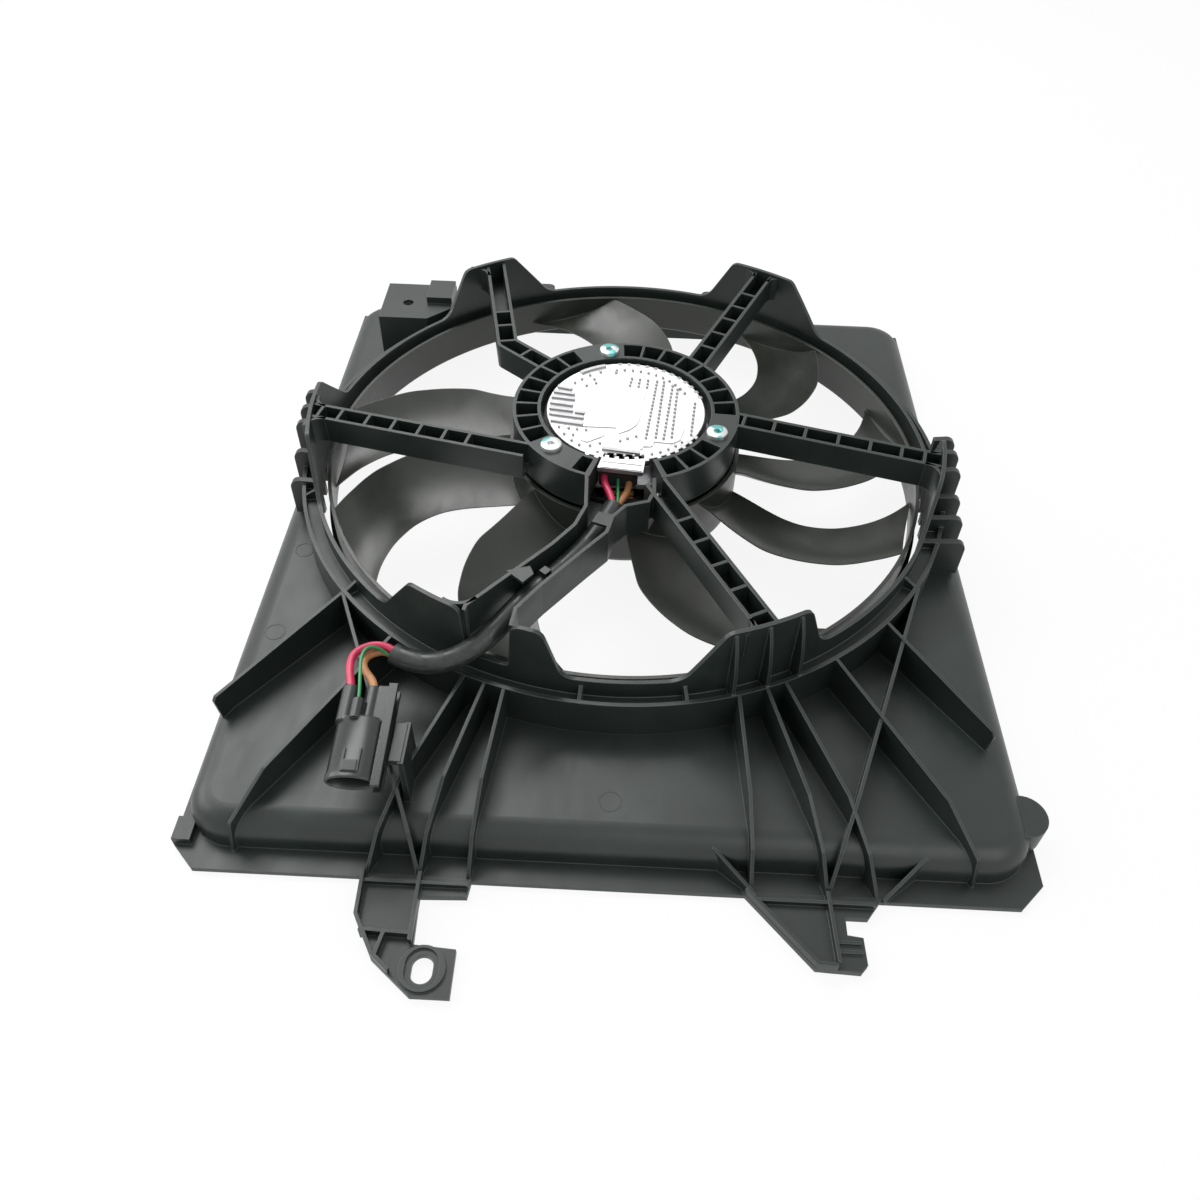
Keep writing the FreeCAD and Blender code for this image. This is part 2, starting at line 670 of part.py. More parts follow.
def rotor_bell():
    inner = bell_radius - bell_wall
    rounding = 4.0
    profile = [(shaft_radius + press_gap, bell_front - 5.0), (9.0, bell_front - 5.0), (9.0, bell_front),
               (bell_radius - rounding, bell_front), (bell_radius - 1.2, bell_front + 1.2),
               (bell_radius, bell_front + rounding), (bell_radius, bell_rear), (inner, bell_rear),
               (inner, bell_front + bell_wall), (9.0, bell_front + bell_wall), (9.0, bell_front + 5.0),
               (shaft_radius + press_gap, bell_front + 5.0)]
    body = revolved(profile)
    cuts = []
    for index in range(3):
        place = polar(fan_screw_circle, 90.0 + 120.0 * index)
        cuts.append(disc(fan_screw_radius + press_gap, bell_front - 5, bell_front + 5, place.x, place.y))
    for index in range(6):
        start = 15.0 + 60.0 * index
        cuts.append(sector(pad_outer + 2.0, bell_radius - 8.0, bell_front - 1, bell_front + 4,
                           start, start + 30.0))
    return body.cut(cuts)


def rotor_magnets():
    outer = bell_radius - bell_wall - press_gap
    inner = outer - magnet_thickness
    pitch = 360.0 / magnet_count
    low = stator_front - 1.5
    high = stator_front + stator_stack + 1.5
    tiles = [sector(inner, outer, low, high, index * pitch + 1.0, (index + 1) * pitch - 1.0)
             for index in range(magnet_count)]
    return Part.makeCompound(tiles)


def motor_shaft():
    shaft = disc(shaft_radius, bell_front - 6.0, base_flange_top - 5.0)
    ends = [e for e in shaft.Edges if isinstance(e.Curve, Part.Circle)]
    return shaft.makeChamfer(0.5, ends)


def fan_screws():
    solids = []
    for index in range(3):
        place = polar(fan_screw_circle, 90.0 + 120.0 * index)
        head = Part.makeCone(3.6, 5.0, 3.2, V(place.x, place.y, hub_front - 3.2))
        shank = disc(fan_screw_radius, hub_front - 1.0, bell_front + bell_wall + 1.5, place.x, place.y)
        solids.append(joined([head, shank]))
    return Part.makeCompound(solids)


def motor_base():
    tube_outer = bearing_radius + tube_wall
    bearing_bore = bearing_radius + press_gap
    floor_low = base_flange_top - base_flange_thickness
    tube_low = stator_front - 6.0
    seat = bearing_width + 1.0
    profile = [(bearing_bore, tube_low), (tube_outer, tube_low), (tube_outer, floor_low),
               (base_flange_radius, floor_low), (base_flange_radius, base_flange_top),
               (base_radius, base_flange_top), (base_radius, cover_bottom - gasket_thickness),
               (base_radius - base_wall, cover_bottom - gasket_thickness),
               (base_radius - base_wall, floor_low + base_floor), (0, floor_low + base_floor),
               (0, floor_low), (bearing_bore, floor_low), (bearing_bore, floor_low - seat),
               (bearing_bore - 2.0, floor_low - seat), (bearing_bore - 2.0, tube_low + seat),
               (bearing_bore, tube_low + seat)]
    body = revolved(profile)
    cuts = [Part.makeBox(24.6, 12.0, 13.0, V(-15.3, -60.0, base_flange_top - 1.4)),
            Part.makeBox(44.0, 20.0, 12.0, V(-22.0, -77.0, floor_low - 2.0))]
    for angle in BOLT_ANGLES:
        place = polar(bolt_circle, angle)
        cuts.append(disc(bolt_radius + press_gap, floor_low - 5, base_flange_top + 5, place.x, place.y))
    return body.cut(cuts)


def bearing(low):
    outer = ring(bearing_radius, bearing_radius - 1.9, low, low + bearing_width)
    inner = ring(shaft_radius + bearing_running_gap + 1.9, shaft_radius + bearing_running_gap,
                 low, low + bearing_width)
    shield = ring(bearing_radius - 1.5, shaft_radius + 1.5, low + 0.4, low + bearing_width - 0.4)
    return joined([outer, shield, inner])


def stator_core():
    inner = bearing_radius + tube_wall + press_gap
    shoe_outer = bell_radius - bell_wall - press_gap - magnet_thickness - air_gap
    low = stator_front
    high = stator_front + stator_stack
    yoke = ring(inner + back_iron, inner, low, high)
    teeth = []
    for index in range(tooth_count):
        angle = index * 360.0 / tooth_count
        tooth = Part.makeBox(shoe_outer - inner - 4.0, tooth_width, stator_stack,
                             V(inner + 2.0, -tooth_width / 2, low))
        tooth.rotate(V(0, 0, 0), V(0, 0, 1), angle)
        shoe = sector(shoe_outer - 3.0, shoe_outer, low, high, angle - 12.5, angle + 12.5)
        teeth += [tooth, shoe]
    return joined([yoke] + teeth)


def stator_windings():
    inner = bearing_radius + tube_wall + back_iron + 3.5
    outer = bell_radius - bell_wall - magnet_thickness - air_gap - 4.0
    gap = 0.3
    coils = []
    for index in range(tooth_count):
        low = stator_front - gap - coil_side
        height = stator_stack + 2 * (gap + coil_side)
        half = tooth_width / 2 + gap
        wide = half + coil_side
        narrow = half + 1.6
        outline = [(inner, -narrow), (outer, -wide), (outer, wide), (inner, narrow)]
        coil = prism(outline, low, low + height)
        window = Part.makeBox(outer - inner + 2, 2 * half, stator_stack + 2 * gap,
                              V(inner - 1, -half, stator_front - gap))
        coil = coil.cut(window)
        coil.rotate(V(0, 0, 0), V(0, 0, 1), index * 360.0 / tooth_count)
        coils.append(coil)
    return Part.makeCompound(coils)


def stator_insulators():
    inner = bearing_radius + tube_wall + 0.3
    outer = inner + back_iron - 1.0
    rear = stator_front + stator_stack
    return Part.makeCompound([ring(outer, inner, rear, rear + 3.0),
                              ring(outer, inner, stator_front - 3.0, stator_front)])


def controller_board():
    radius = base_radius - base_wall - 0.6
    board = disc(radius, board_height, board_height + board_thickness)
    lead_cut = Part.makeBox(30.0, 12.0, 10.0, V(-18.0, -56.0, board_height - 4.0))
    return board.cut(lead_cut)


def board_posts():
    floor = base_flange_top - base_flange_thickness + base_floor
    places = [polar(40.0, angle) for angle in (20.0, 140.0, 215.0, 325.0)]
    return Part.makeCompound([disc(3.0, floor, board_height, p.x, p.y) for p in places])


def filter_capacitors():
    cans = []
    for x in (-26.0, -8.0, 10.0):
        can = Part.makeCylinder(2.6, 13.0, V(x, 22.0, board_height - 2.8), V(1, 0, 0))
        cans.append(can)
    return Part.makeCompound(cans)


def power_transistors():
    low = board_height + board_thickness
    return Part.makeCompound([Part.makeBox(9.0, 9.0, 2.2, V(x, y, low))
                              for y in (-12.0, 4.0) for x in (-26.0, -4.0, 18.0)])


def cover_gasket():
    low = cover_bottom - gasket_thickness
    body = ring(base_radius, base_radius - base_wall, low, cover_bottom)
    gap = Part.makeBox(24.6, 12.0, 4.0, V(-15.3, -60.0, low - 1.5))
    return body.cut(gap)


def heat_sink_cover():
    top = cover_bottom + cover_thickness
    plate = disc(cover_radius, cover_bottom, top)
    teeth = []
    for index in range(44):
        angle = -50.0 + index * 280.0 / 43
        teeth.append(radial_plate([(cover_radius - 2.0, cover_bottom + 1), (cover_radius + 1.4, cover_bottom + 1),
                                   (cover_radius + 1.4, top - 0.6), (cover_radius - 2.0, top + 0.6)],
                                  angle, 1.5))
    plateau = prism([(-33.0, 30.0), (8.0, 30.0), (14.0, 22.0), (12.0, -8.0), (2.0, -17.0), (-22.0, -17.0),
                     (-24.0, -4.0), (-33.0, 2.0)], top - 1.0, top + 1.2)
    pins = []
    for row in range(9):
        for column in range(7):
            x = 17.0 + 5.4 * column
            y = -28.0 + 7.2 * row
            if math.hypot(x, y) < cover_radius - 4.0:
                pins.append(Part.makeBox(1.7, 1.7, 2.6, V(x, y, top - 1.0)))
    bars = [Part.makeBox(14.0, 2.6, 2.2, V(-49.0, -12.0 + 5.6 * row, top - 1.0)) for row in range(7)]
    tab = prism([(-15.0, -46.0), (15.0, -46.0), (15.0, -60.0), (-15.0, -60.0)], cover_bottom + 1.0, top)
    tab_slot = Part.makeBox(24.0, 2.4, 2.0, V(-12.0, -56.0, top - 1.0))
    cuts = [tab_slot]
    for row in range(3):
        cuts.append(Part.makeBox(22.0, 1.6, 2.0, V(-24.0, -40.0 + 5.0 * row, top - 1.0)))
    bars = [bar.common(disc(cover_radius - 1.5, 0, 120)) for bar in bars]
    return joined([plate, plateau, tab] + teeth + pins + bars).cut(cuts)


def cable_grommet():
    block = Part.makeBox(24.0, 7.0, 12.2, V(-15.0, -58.0, base_flange_top - 1.2))
    edges = [e for e in block.Edges if abs(e.Vertexes[0].Y - e.Vertexes[1].Y) > 1]
    block = block.makeFillet(2.5, edges)
    holes = []
    for start, diameter in ((RED_START[0], lead_diameter), (ORANGE_START[0], lead_diameter),
                            (GREEN_START[0], signal_diameter)):
        mouth = V(start[0], start[1] + 0.5, start[2])
        holes.append(Part.makeCylinder(diameter / 2 + press_gap, 8.0, mouth, V(0, -1, 0)))
    return block.cut(holes)


def mounting_bolts():
    solids = []
    for angle in BOLT_ANGLES:
        place = polar(bolt_circle, angle)
        washer = disc(bolt_flange_radius, carrier_top, carrier_top + bolt_flange_thickness, place.x, place.y)
        radius = bolt_head_across / 2 / math.cos(math.radians(30))
        corners = [(place.x + radius * math.cos(math.radians(60 * k)),
                    place.y + radius * math.sin(math.radians(60 * k))) for k in range(6)]
        head = prism(corners, carrier_top + 1.0, carrier_top + bolt_head_height)
        dish = disc(3.2, carrier_top + bolt_head_height - 1.4, carrier_top + bolt_head_height + 1,
                    place.x, place.y)
        shank = disc(bolt_radius, base_flange_top - base_flange_thickness - 2.0, carrier_top + 1.0,
                     place.x, place.y)
        solids.append(joined([washer, head, shank]).cut(dish))
    return Part.makeCompound(solids)


def route_wire(points, name, diameter):
    """Straight runs joined by the largest tangent arcs that the runs allow."""
    corners = [V(*point) for point in points]
    edges = []
    last = corners[0]
    tightest = 1e9
    for before, corner, after in zip(corners, corners[1:], corners[2:]):
        incoming = corner - before
        outgoing = after - corner
        turn = incoming.getAngle(outgoing)
        shorter = min(incoming.Length, outgoing.Length)
        cut_back = 0.45 * shorter
        radius = cut_back / math.tan(turn / 2)
        tightest = min(tightest, radius)
        incoming.normalize()
        outgoing.normalize()
        first = corner - incoming * cut_back
        second = corner + outgoing * cut_back
        bisector = outgoing - incoming
        bisector.normalize()
        centre = corner + bisector * (radius / math.cos(turn / 2))
        middle = centre - bisector * radius
        edges.append(Part.LineSegment(last, first).toShape())
        edges.append(Part.Arc(first, middle, second).toShape())
        last = second
    edges.append(Part.LineSegment(last, corners[-1]).toShape())
    wire = Part.Wire(edges)
    print(f"{name}: length {wire.Length:.1f} mm, tightest radius {tightest:.1f} mm, diameter {diameter}")
    return wire


def tube_along(points, name, diameter, bore=0.0):
    wire = route_wire(points, name, diameter)
    start = V(*points[0])
    direction = V(*points[1]) - start
    outer = Part.Wire(Part.makeCircle(diameter / 2, start, direction))
    solid = wire.makePipeShell([outer], True, True)
    if bore:
        inner = Part.Wire(Part.makeCircle(bore / 2, start, direction))
        solid = solid.cut(wire.makePipeShell([inner], True, True))
    section = math.pi * (diameter ** 2 - bore ** 2) / 4
    print(f"{name}: volume over section times length {solid.Volume / (section * wire.Length):.4f}")
    return solid


def shifted(points, dx, dy, dz):
    return [(x + dx, y + dy, z + dz) for x, y, z in points]


def plug_place(shape):
    """Turn a piece drawn along -Y with the mouth at the origin into the plug's place."""
    shape.rotate(V(0, 0, 0), V(1, 0, 0), plug_tilt)
    shape.translate(V(plug_centre_x, plug_mouth_y, plug_mouth_z))
    return shape


def oval_block(half_width, half_height, start, length):
    centre = V(0, start, 0)
    curve = Part.Ellipse(centre + V(half_width, 0, 0), centre + V(0, 0, half_height), centre)
    face = Part.Face(Part.Wire(curve.toShape()))
    return face.extrude(V(0, length, 0))


def plug_housing():
    body = oval_block(plug_half_width, plug_half_height, 0.0, plug_length)
    cavity = oval_block(plug_half_width - plug_wall, plug_half_height - plug_wall, -1.0, plug_length - 9.0)
    towers = [Part.makeCylinder(5.2, tower_length + 2, V(x, plug_length - 2, z), V(0, 1, 0))
              for x, z in POWER_HOLES]
    towers.append(Part.makeCylinder(3.4, 8.0, V(SIGNAL_HOLE[0], plug_length - 2, SIGNAL_HOLE[1]), V(0, 1, 0)))
    towers.append(Part.makeBox(10.0, tower_length, 15.0, V(8.0, plug_length - 1, -5.0)))
    rail_top = Part.makeBox(4.0, 52.0, 3.0, V(17.0, 2.0, 8.5))
    rail_foot = Part.makeBox(4.0, 52.0, 3.0, V(17.0, 2.0, -8.5))
    latch = Part.makeBox(7.0, 6.0, 2.0, V(-3.5, 3.0, plug_half_height - 1.0))
    window = Part.makeBox(4.0, 4.0, 6.0, V(-2.0, 4.0, plug_half_height - 3.0))
    body = joined([body] + towers + [rail_top, rail_foot, latch]).cut([cavity, window])
    holes = []
    for x, z in POWER_HOLES:
        holes.append(Part.makeCylinder(lead_diameter / 2 + 0.9, 40.0, V(x, plug_length + lead_depth - 0.5, z),
                                       V(0, 1, 0)))
    holes.append(Part.makeCylinder(signal_diameter / 2 + 0.6, 40.0,
                                   V(SIGNAL_HOLE[0], plug_length + 0.5, SIGNAL_HOLE[1]), V(0, 1, 0)))
    return plug_place(body.cut(holes + terminal_boxes(press_gap)))


def terminal_boxes(gap):
    """The contact blades, or with a gap the slots that they sit in."""
    floor = plug_length - 10.0
    boxes = []
    for x, z, width in ((-8.5, 2.1, 6.3), (5.5, 2.1, 6.3), (-4.0, -5.0, 2.2), (2.0, -5.0, 2.2)):
        boxes.append(Part.makeBox(width + 2 * gap, 16.0 + gap, 0.8 + 2 * gap,
                                  V(x - width / 2 - gap, floor - 12.0, z - gap)))
    return boxes


def plug_terminals():
    return plug_place(Part.makeCompound(terminal_boxes(0.0)))


def cable_tie():
    """Strap round the channel with its head on top."""
    middle = V(-46.0, -152.0, 0)
    along = V(-0.632, -0.775, 0)
    side = V(0.775, -0.632, 0)
    low = carrier_top - channel_depth - 0.3
    high = carrier_top + 0.3
    half = 14.3
    thickness = 1.2
    width = 4.6

    def strap_block(reach, bottom, top, depth):
        a = middle - along * (depth / 2) - side * reach
        b = middle + along * (depth / 2) - side * reach
        c = middle + along * (depth / 2) + side * reach
        d = middle - along * (depth / 2) + side * reach
        return prism([(p.x, p.y) for p in (a, b, c, d)], bottom, top)

    loop = strap_block(half + thickness, low - thickness, high + thickness, width)
    loop = loop.cut(strap_block(half, low, high, width + 2))
    head_place = middle + side * 6.0
    head = Part.makeBox(7.0, 7.0, 4.5, V(head_place.x - 3.5, head_place.y - 3.5, high))
    return joined([loop, head])


def plug_point(x, y, z):
    angle = math.radians(plug_tilt)
    return (plug_centre_x + x, plug_mouth_y + y * math.cos(angle) - z * math.sin(angle),
            plug_mouth_z + y * math.sin(angle) + z * math.cos(angle))


def lead(start, shift, end, hole, name, diameter):
    """A lead from the motor, through the sleeve beside its centre line, into a tower of the plug."""
    along_sleeve = shifted(SLEEVE_ROUTE[:-1] + LEADS_BEYOND, *shift)
    into_plug = [plug_point(hole[0], hole[1] + lead_entry, hole[2]), plug_point(*hole)]
    return tube_along(start + along_sleeve + end + into_plug, name, diameter)


def red_lead():
    hole = (POWER_HOLES[0][0], plug_length + lead_depth, POWER_HOLES[0][1])
    return lead(RED_START, (0, 0, lead_rise), RED_END, hole, "red_lead", lead_diameter)


def orange_lead():
    hole = (POWER_HOLES[1][0], plug_length + lead_depth, POWER_HOLES[1][1])
    return lead(ORANGE_START, (0, 0, -lead_rise), ORANGE_END, hole, "orange_lead", lead_diameter)


def green_lead():
    hole = (SIGNAL_HOLE[0], plug_length + 1.0, SIGNAL_HOLE[1])
    shift = (signal_shift * 0.33, signal_shift * -0.944, 0)
    return lead(GREEN_START, shift, GREEN_END, hole, "green_lead", signal_diameter)


PIECES = {
    "shroud_pan": shroud_pan,
    "shroud_barrel": shroud_barrel,
    "motor_carrier": motor_carrier,
    "cooling_fan": cooling_fan,
    "rotor_bell": rotor_bell,
    "rotor_magnets": rotor_magnets,
    "motor_shaft": motor_shaft,
    "fan_screws": fan_screws,
    "motor_base": motor_base,
    "front_bearing": lambda: bearing(stator_front - 5.5),
    "rear_bearing": lambda: bearing(base_flange_top - base_flange_thickness - bearing_width - 0.5),
    "stator_core": stator_core,
    "stator_windings": stator_windings,
    "stator_insulators": stator_insulators,
    "controller_board": controller_board,
    "board_posts": board_posts,
    "filter_capacitors": filter_capacitors,
    "power_transistors": power_transistors,
    "cover_gasket": cover_gasket,
    "heat_sink_cover": heat_sink_cover,
    "cable_grommet": cable_grommet,
    "mounting_bolts": mounting_bolts,
    "cable_sleeve": lambda: tube_along(SLEEVE_ROUTE, "cable_sleeve", sleeve_diameter, sleeve_bore),
    "red_lead": red_lead,
    "orange_lead": orange_lead,
    "green_lead": green_lead,
    "plug_housing": plug_housing,
    "plug_terminals": plug_terminals,
    "cable_tie": cable_tie,
}


def main():
    os.makedirs("parts", exist_ok=True)
    for name, make in PIECES.items():
        shape = make()
        shape.translate(V(fan_axis_x, fan_axis_y, 0))
        shape.exportStep(f"parts/{name}.step")


main()
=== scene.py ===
import bpy
import bmesh
import math
from collections import namedtuple
from mathutils import Matrix, Vector


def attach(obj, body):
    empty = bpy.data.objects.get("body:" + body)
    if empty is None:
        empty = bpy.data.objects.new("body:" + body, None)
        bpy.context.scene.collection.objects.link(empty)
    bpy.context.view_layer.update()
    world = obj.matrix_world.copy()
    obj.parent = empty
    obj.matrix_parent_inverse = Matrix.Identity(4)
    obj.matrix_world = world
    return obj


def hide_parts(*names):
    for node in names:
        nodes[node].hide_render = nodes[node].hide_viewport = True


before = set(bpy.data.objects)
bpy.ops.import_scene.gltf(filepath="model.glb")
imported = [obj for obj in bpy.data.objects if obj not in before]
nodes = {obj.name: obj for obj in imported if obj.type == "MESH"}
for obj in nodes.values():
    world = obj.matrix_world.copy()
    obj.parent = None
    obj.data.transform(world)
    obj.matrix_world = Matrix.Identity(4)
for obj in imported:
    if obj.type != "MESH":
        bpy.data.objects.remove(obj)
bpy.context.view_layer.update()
scene = bpy.context.scene

MM = 0.001
FAN_AXIS = Vector((-2.5, 50.0, 0.0)) * MM

# Camera of the photograph
CAMERA_PLACE = Vector((-1.0, -562.4, 505.3)) * MM + FAN_AXIS
CAMERA_RIGHT = Vector((0.99884435, 0.04370498, 0.01999575))
CAMERA_UP = Vector((-0.04561069, 0.73079833, 0.68106788))
CAMERA_BACK = Vector((0.0151532, -0.68119283, 0.7319472))
CAMERA_LENS = 31.10
CAMERA_SENSOR = 36.0

# Sizes of pieces are in millimetres, and their places are from the fan axis and the flange's underside

# Cable
SLEEVE_ROUTE = [
    (-5.0, -84.0, 75.6),
    (-12.5, -106.0, 75.6),
    (-30.5, -136.0, 75.6),
    (-53.0, -164.3, 75.5),
    (-72.3, -189.8, 67.4),
    (-91.9, -200.0, 59.6),
    (-111.9, -199.8, 57.2),
    (-123.4, -194.7, 58.8),
]
LEADS_BEYOND = [(-120.6, -196.0, 58.4), (-128.1, -192.3, 59.8)]
RED_START = [(-12.0, -56.5, 78.1), (-12.0, -63.5, 78.1), (-8.0, -73.0, 78.1)]
RED_END = [(-135.2, -192.8, 62.9), (-141.2, -196.6, 63.5), (-144.6, -202.8, 64.3), (-143.6, -213.5, 64.8)]
ORANGE_START = [(4.0, -56.5, 73.1), (4.0, -63.5, 73.1), (0.5, -73.0, 73.1)]
ORANGE_END = [(-134.2, -193.4, 57.5), (-138.5, -198.2, 58.5), (-138.8, -205.0, 60.0), (-135.0, -211.9, 61.6),
              (-129.9, -218.2, 63.0)]
GREEN_START = [(-3.0, -56.5, 76.2), (-3.0, -63.5, 76.2), (-2.4, -74.0, 76.0)]
GREEN_END = [(-130.5, -196.8, 65.5), (-135.5, -199.5, 69.6), (-137.4, -207.0, 71.2), (-135.9, -218.0, 70.6)]
SLEEVE_DIAMETER = 12.6
LEAD_DIAMETER = 4.5
SIGNAL_DIAMETER = 1.8
LEAD_RISE = 2.5
SIGNAL_ASIDE = (1.419, -4.0592)

# Plug: middle of its mouth, tilt and length, then its holes in its own axes
PLUG_CENTRE_X = -130.5
PLUG_MOUTH_Y = -280.0
PLUG_MOUTH_Z = 58.0
PLUG_TILT = math.radians(6.0)
PLUG_LENGTH = 36.0
POWER_HOLES = [(-9.0, 0.5), (3.0, 0.5)]
SIGNAL_HOLE = (-2.9, 5.5)

# What pieces share
PAN_TOP = 24.0
SUNK = 1.0


def fan_point(x, y, z):
    """A point given in millimetres from the fan axis, as metres in the row frame."""
    return Vector((x, y, z)) * MM + FAN_AXIS


class Shader:
    """A node material with its principled shader."""

    def __init__(self, name, **sockets):
        self.material = bpy.data.materials.new(name)
        self.material.use_nodes = True
        self.tree = self.material.node_tree
        self.bsdf = self.tree.nodes["Principled BSDF"]
        for socket, value in sockets.items():
            self.bsdf.inputs[socket.replace("_", " ")].default_value = value
        self.place = self.node("ShaderNodeTexCoord").outputs["Object"]

    def node(self, kind, **settings):
        made = self.tree.nodes.new(kind)
        for name, value in settings.items():
            setattr(made, name, value)
        return made

    def link(self, a, b):
        self.tree.links.new(a, b)

    def noise(self, scale, detail=3.0, rough=0.55, stretch=None):
        """Noise in the piece's own space, stretched along its axes where asked."""
        made = self.node("ShaderNodeTexNoise")
        made.inputs["Scale"].default_value = scale
        made.inputs["Detail"].default_value = detail
        made.inputs["Roughness"].default_value = rough
        place = self.place
        if stretch:
            mapping = self.node("ShaderNodeMapping")
            mapping.inputs["Scale"].default_value = stretch
            self.link(self.place, mapping.inputs["Vector"])
            place = mapping.outputs["Vector"]
        self.link(place, made.inputs["Vector"])
        return made.outputs["Fac"]

    def ramp(self, value, stops):
        """Colour that follows a value through stops of position and colour."""
        made = self.node("ShaderNodeValToRGB")
        elements = made.color_ramp.elements
        while len(elements) < len(stops):
            elements.new(0.5)
        for element, (position, colour) in zip(elements, stops):
            element.position = position
            element.color = (*colour, 1.0)
        self.link(value, made.inputs["Fac"])
        return made.outputs["Color"]

    def blend(self, share, first, second):
        """Colour that goes from the first to the second as the share rises."""
        made = self.node("ShaderNodeMix", data_type="RGBA")
        self.link(share, made.inputs[0])
        for index, colour in ((6, first), (7, second)):
            if isinstance(colour, tuple):
                made.inputs[index].default_value = (*colour, 1.0)
            else:
                self.link(colour, made.inputs[index])
        return made.outputs[2]

    def fade(self, value, start, end, low, high):
        """Number that goes from low to high while the value goes from start to end."""
        made = self.node("ShaderNodeMapRange")
        for name, number in (("From Min", start), ("From Max", end), ("To Min", low), ("To Max", high)):
            made.inputs[name].default_value = number
        self.link(value, made.inputs["Value"])
        return made.outputs["Result"]

    def edges(self, radius, strength):
        """Zero on flat places, rising to the strength along sharp edges."""
        bevel = self.node("ShaderNodeBevel", samples=6)
        bevel.inputs["Radius"].default_value = radius
        flat = self.node("ShaderNodeNewGeometry")
        turn = self.node("ShaderNodeVectorMath", operation="DOT_PRODUCT")
        self.link(bevel.outputs["Normal"], turn.inputs[0])
        self.link(flat.outputs["Normal"], turn.inputs[1])
        return self.fade(turn.outputs["Value"], 0.995, 0.86, 0.0, strength)

    def paint(self, colour):
        self.link(colour, self.bsdf.inputs["Base Color"])

    def roughen(self, value, low, high):
        """Roughness that follows a noise between two limits."""
        self.link(self.fade(value, 0.25, 0.75, low, high), self.bsdf.inputs["Roughness"])

    def bump(self, height, strength, distance, soften=0.0):
        """Fine relief, with edges softened to a radius where one is given."""
        made = self.node("ShaderNodeBump")
        made.inputs["Strength"].default_value = strength
        made.inputs["Distance"].default_value = distance
        self.link(height, made.inputs["Height"])
        if soften:
            bevel = self.node("ShaderNodeBevel", samples=4)
            bevel.inputs["Radius"].default_value = soften
            self.link(bevel.outputs["Normal"], made.inputs["Normal"])
        self.link(made.outputs["Normal"], self.bsdf.inputs["Normal"])


def scaled(colour, factor):
    return tuple(min(1.0, c * factor) for c in colour)


PLASTIC_IOR = 1.5
# Width of the paler edges: partly wear, partly painted highlight.
WEAR_AND_HIGHLIGHT_WIDTH = 0.0011
MOULDED_EDGE = 0.0007
METAL_EDGE = 0.0003


def moulded_plastic(name, colour, roughness, spread, dust, grain, wear_and_highlight=0.0):
    """Satin injection-moulded plastic with faint flow marks, dust, and rounded edges painted paler: partly
    wear, partly painted highlight.
    """
    made = Shader(name, IOR=PLASTIC_IOR)
    broad = made.noise(scale=14.0, detail=4.0, rough=0.6)
    body = made.ramp(broad, [(0.3, scaled(colour, 0.85)), (0.55, colour), (0.75, scaled(colour, dust))])
    if wear_and_highlight:
        # Edges and inner corners painted paler: partly wear and dust, partly painted highlight.
        body = made.blend(made.edges(WEAR_AND_HIGHLIGHT_WIDTH, wear_and_highlight), body, WEAR_AND_HIGHLIGHT_COLOUR)
    made.paint(body)
    streaks = made.noise(scale=55.0, detail=5.0, rough=0.65, stretch=(1.0, 0.35, 1.0))
    made.roughen(streaks, roughness - spread, roughness + spread)
    made.bump(made.noise(scale=grain, detail=2.0), strength=0.12, distance=0.0002, soften=MOULDED_EDGE)
    return made.material


def cast_metal(name, colour, roughness, grain, strength):
    """Cast, pressed or coated metal with broad stains and a fine grain."""
    made = Shader(name, Metallic=1.0)
    stains = made.noise(scale=40.0, detail=5.0, rough=0.65)
    made.paint(made.ramp(stains, [(0.3, scaled(colour, 0.82)), (0.7, colour)]))
    made.roughen(made.noise(scale=160.0), roughness - 0.1, roughness + 0.12)
    made.bump(made.noise(scale=grain), strength, distance=0.0003, soften=METAL_EDGE)
    return made.material


# Heights in metres where the shade of the cover's pins and bars sets in
PIN_SHADE_START = 0.0890
PIN_SHADE_END = 0.0893


def cover_metal(name, colour):
    """Die-cast cover: bright skin, pins and bars darker above a set height, and painted shade on steep side
    faces.
    """
    made = Shader(name, Metallic=1.0)
    stains = made.noise(scale=45.0, detail=5.0, rough=0.65)
    skin = made.ramp(stains, [(0.3, scaled(colour, 0.88)), (0.7, colour)])
    facing = made.node("ShaderNodeSeparateXYZ")
    made.link(made.node("ShaderNodeNewGeometry").outputs["Normal"], facing.inputs[0])
    place = made.node("ShaderNodeSeparateXYZ")
    made.link(made.place, place.inputs[0])
    # Painted shade: faces that turn away from the top are darkened, as if out of the light.
    painted_shade_steep = made.fade(facing.outputs["Z"], start=0.8, end=0.4, low=0.0, high=1.0)
    # Pins and bars darker above a set height.
    raised = made.fade(place.outputs["Z"], PIN_SHADE_START, PIN_SHADE_END, low=0.0, high=0.75)
    painted_shade_and_dark_raised = made.node("ShaderNodeMath", operation="MAXIMUM")
    made.link(painted_shade_steep, painted_shade_and_dark_raised.inputs[0])
    made.link(raised, painted_shade_and_dark_raised.inputs[1])
    # Painted shade on steep faces and the darker pins and bars share one darker colour.
    made.paint(made.blend(painted_shade_and_dark_raised.outputs[0], skin, scaled(colour, 0.42)))
    made.roughen(made.noise(scale=160.0), 0.42, 0.62)
    made.bump(made.noise(scale=1300.0), strength=0.3, distance=0.0003, soften=METAL_EDGE)
    return made.material


def marked_bolt(name, colour, paint):
    """Zinc-plated bolt with a dab of the fitter's paint."""
    made = Shader(name, Metallic=0.9)
    plated = made.ramp(made.noise(scale=90.0), [(0.3, scaled(colour, 0.8)), (0.7, colour)])
    dab = made.fade(made.noise(scale=55.0, detail=2.0), start=0.59, end=0.62, low=0.0, high=0.9)
    made.paint(made.blend(dab, plated, paint))
    made.roughen(made.noise(scale=200.0), 0.28, 0.42)
    made.bump(made.noise(scale=800.0, detail=2.0), strength=0.1, distance=0.0001, soften=METAL_EDGE)
    return made.material


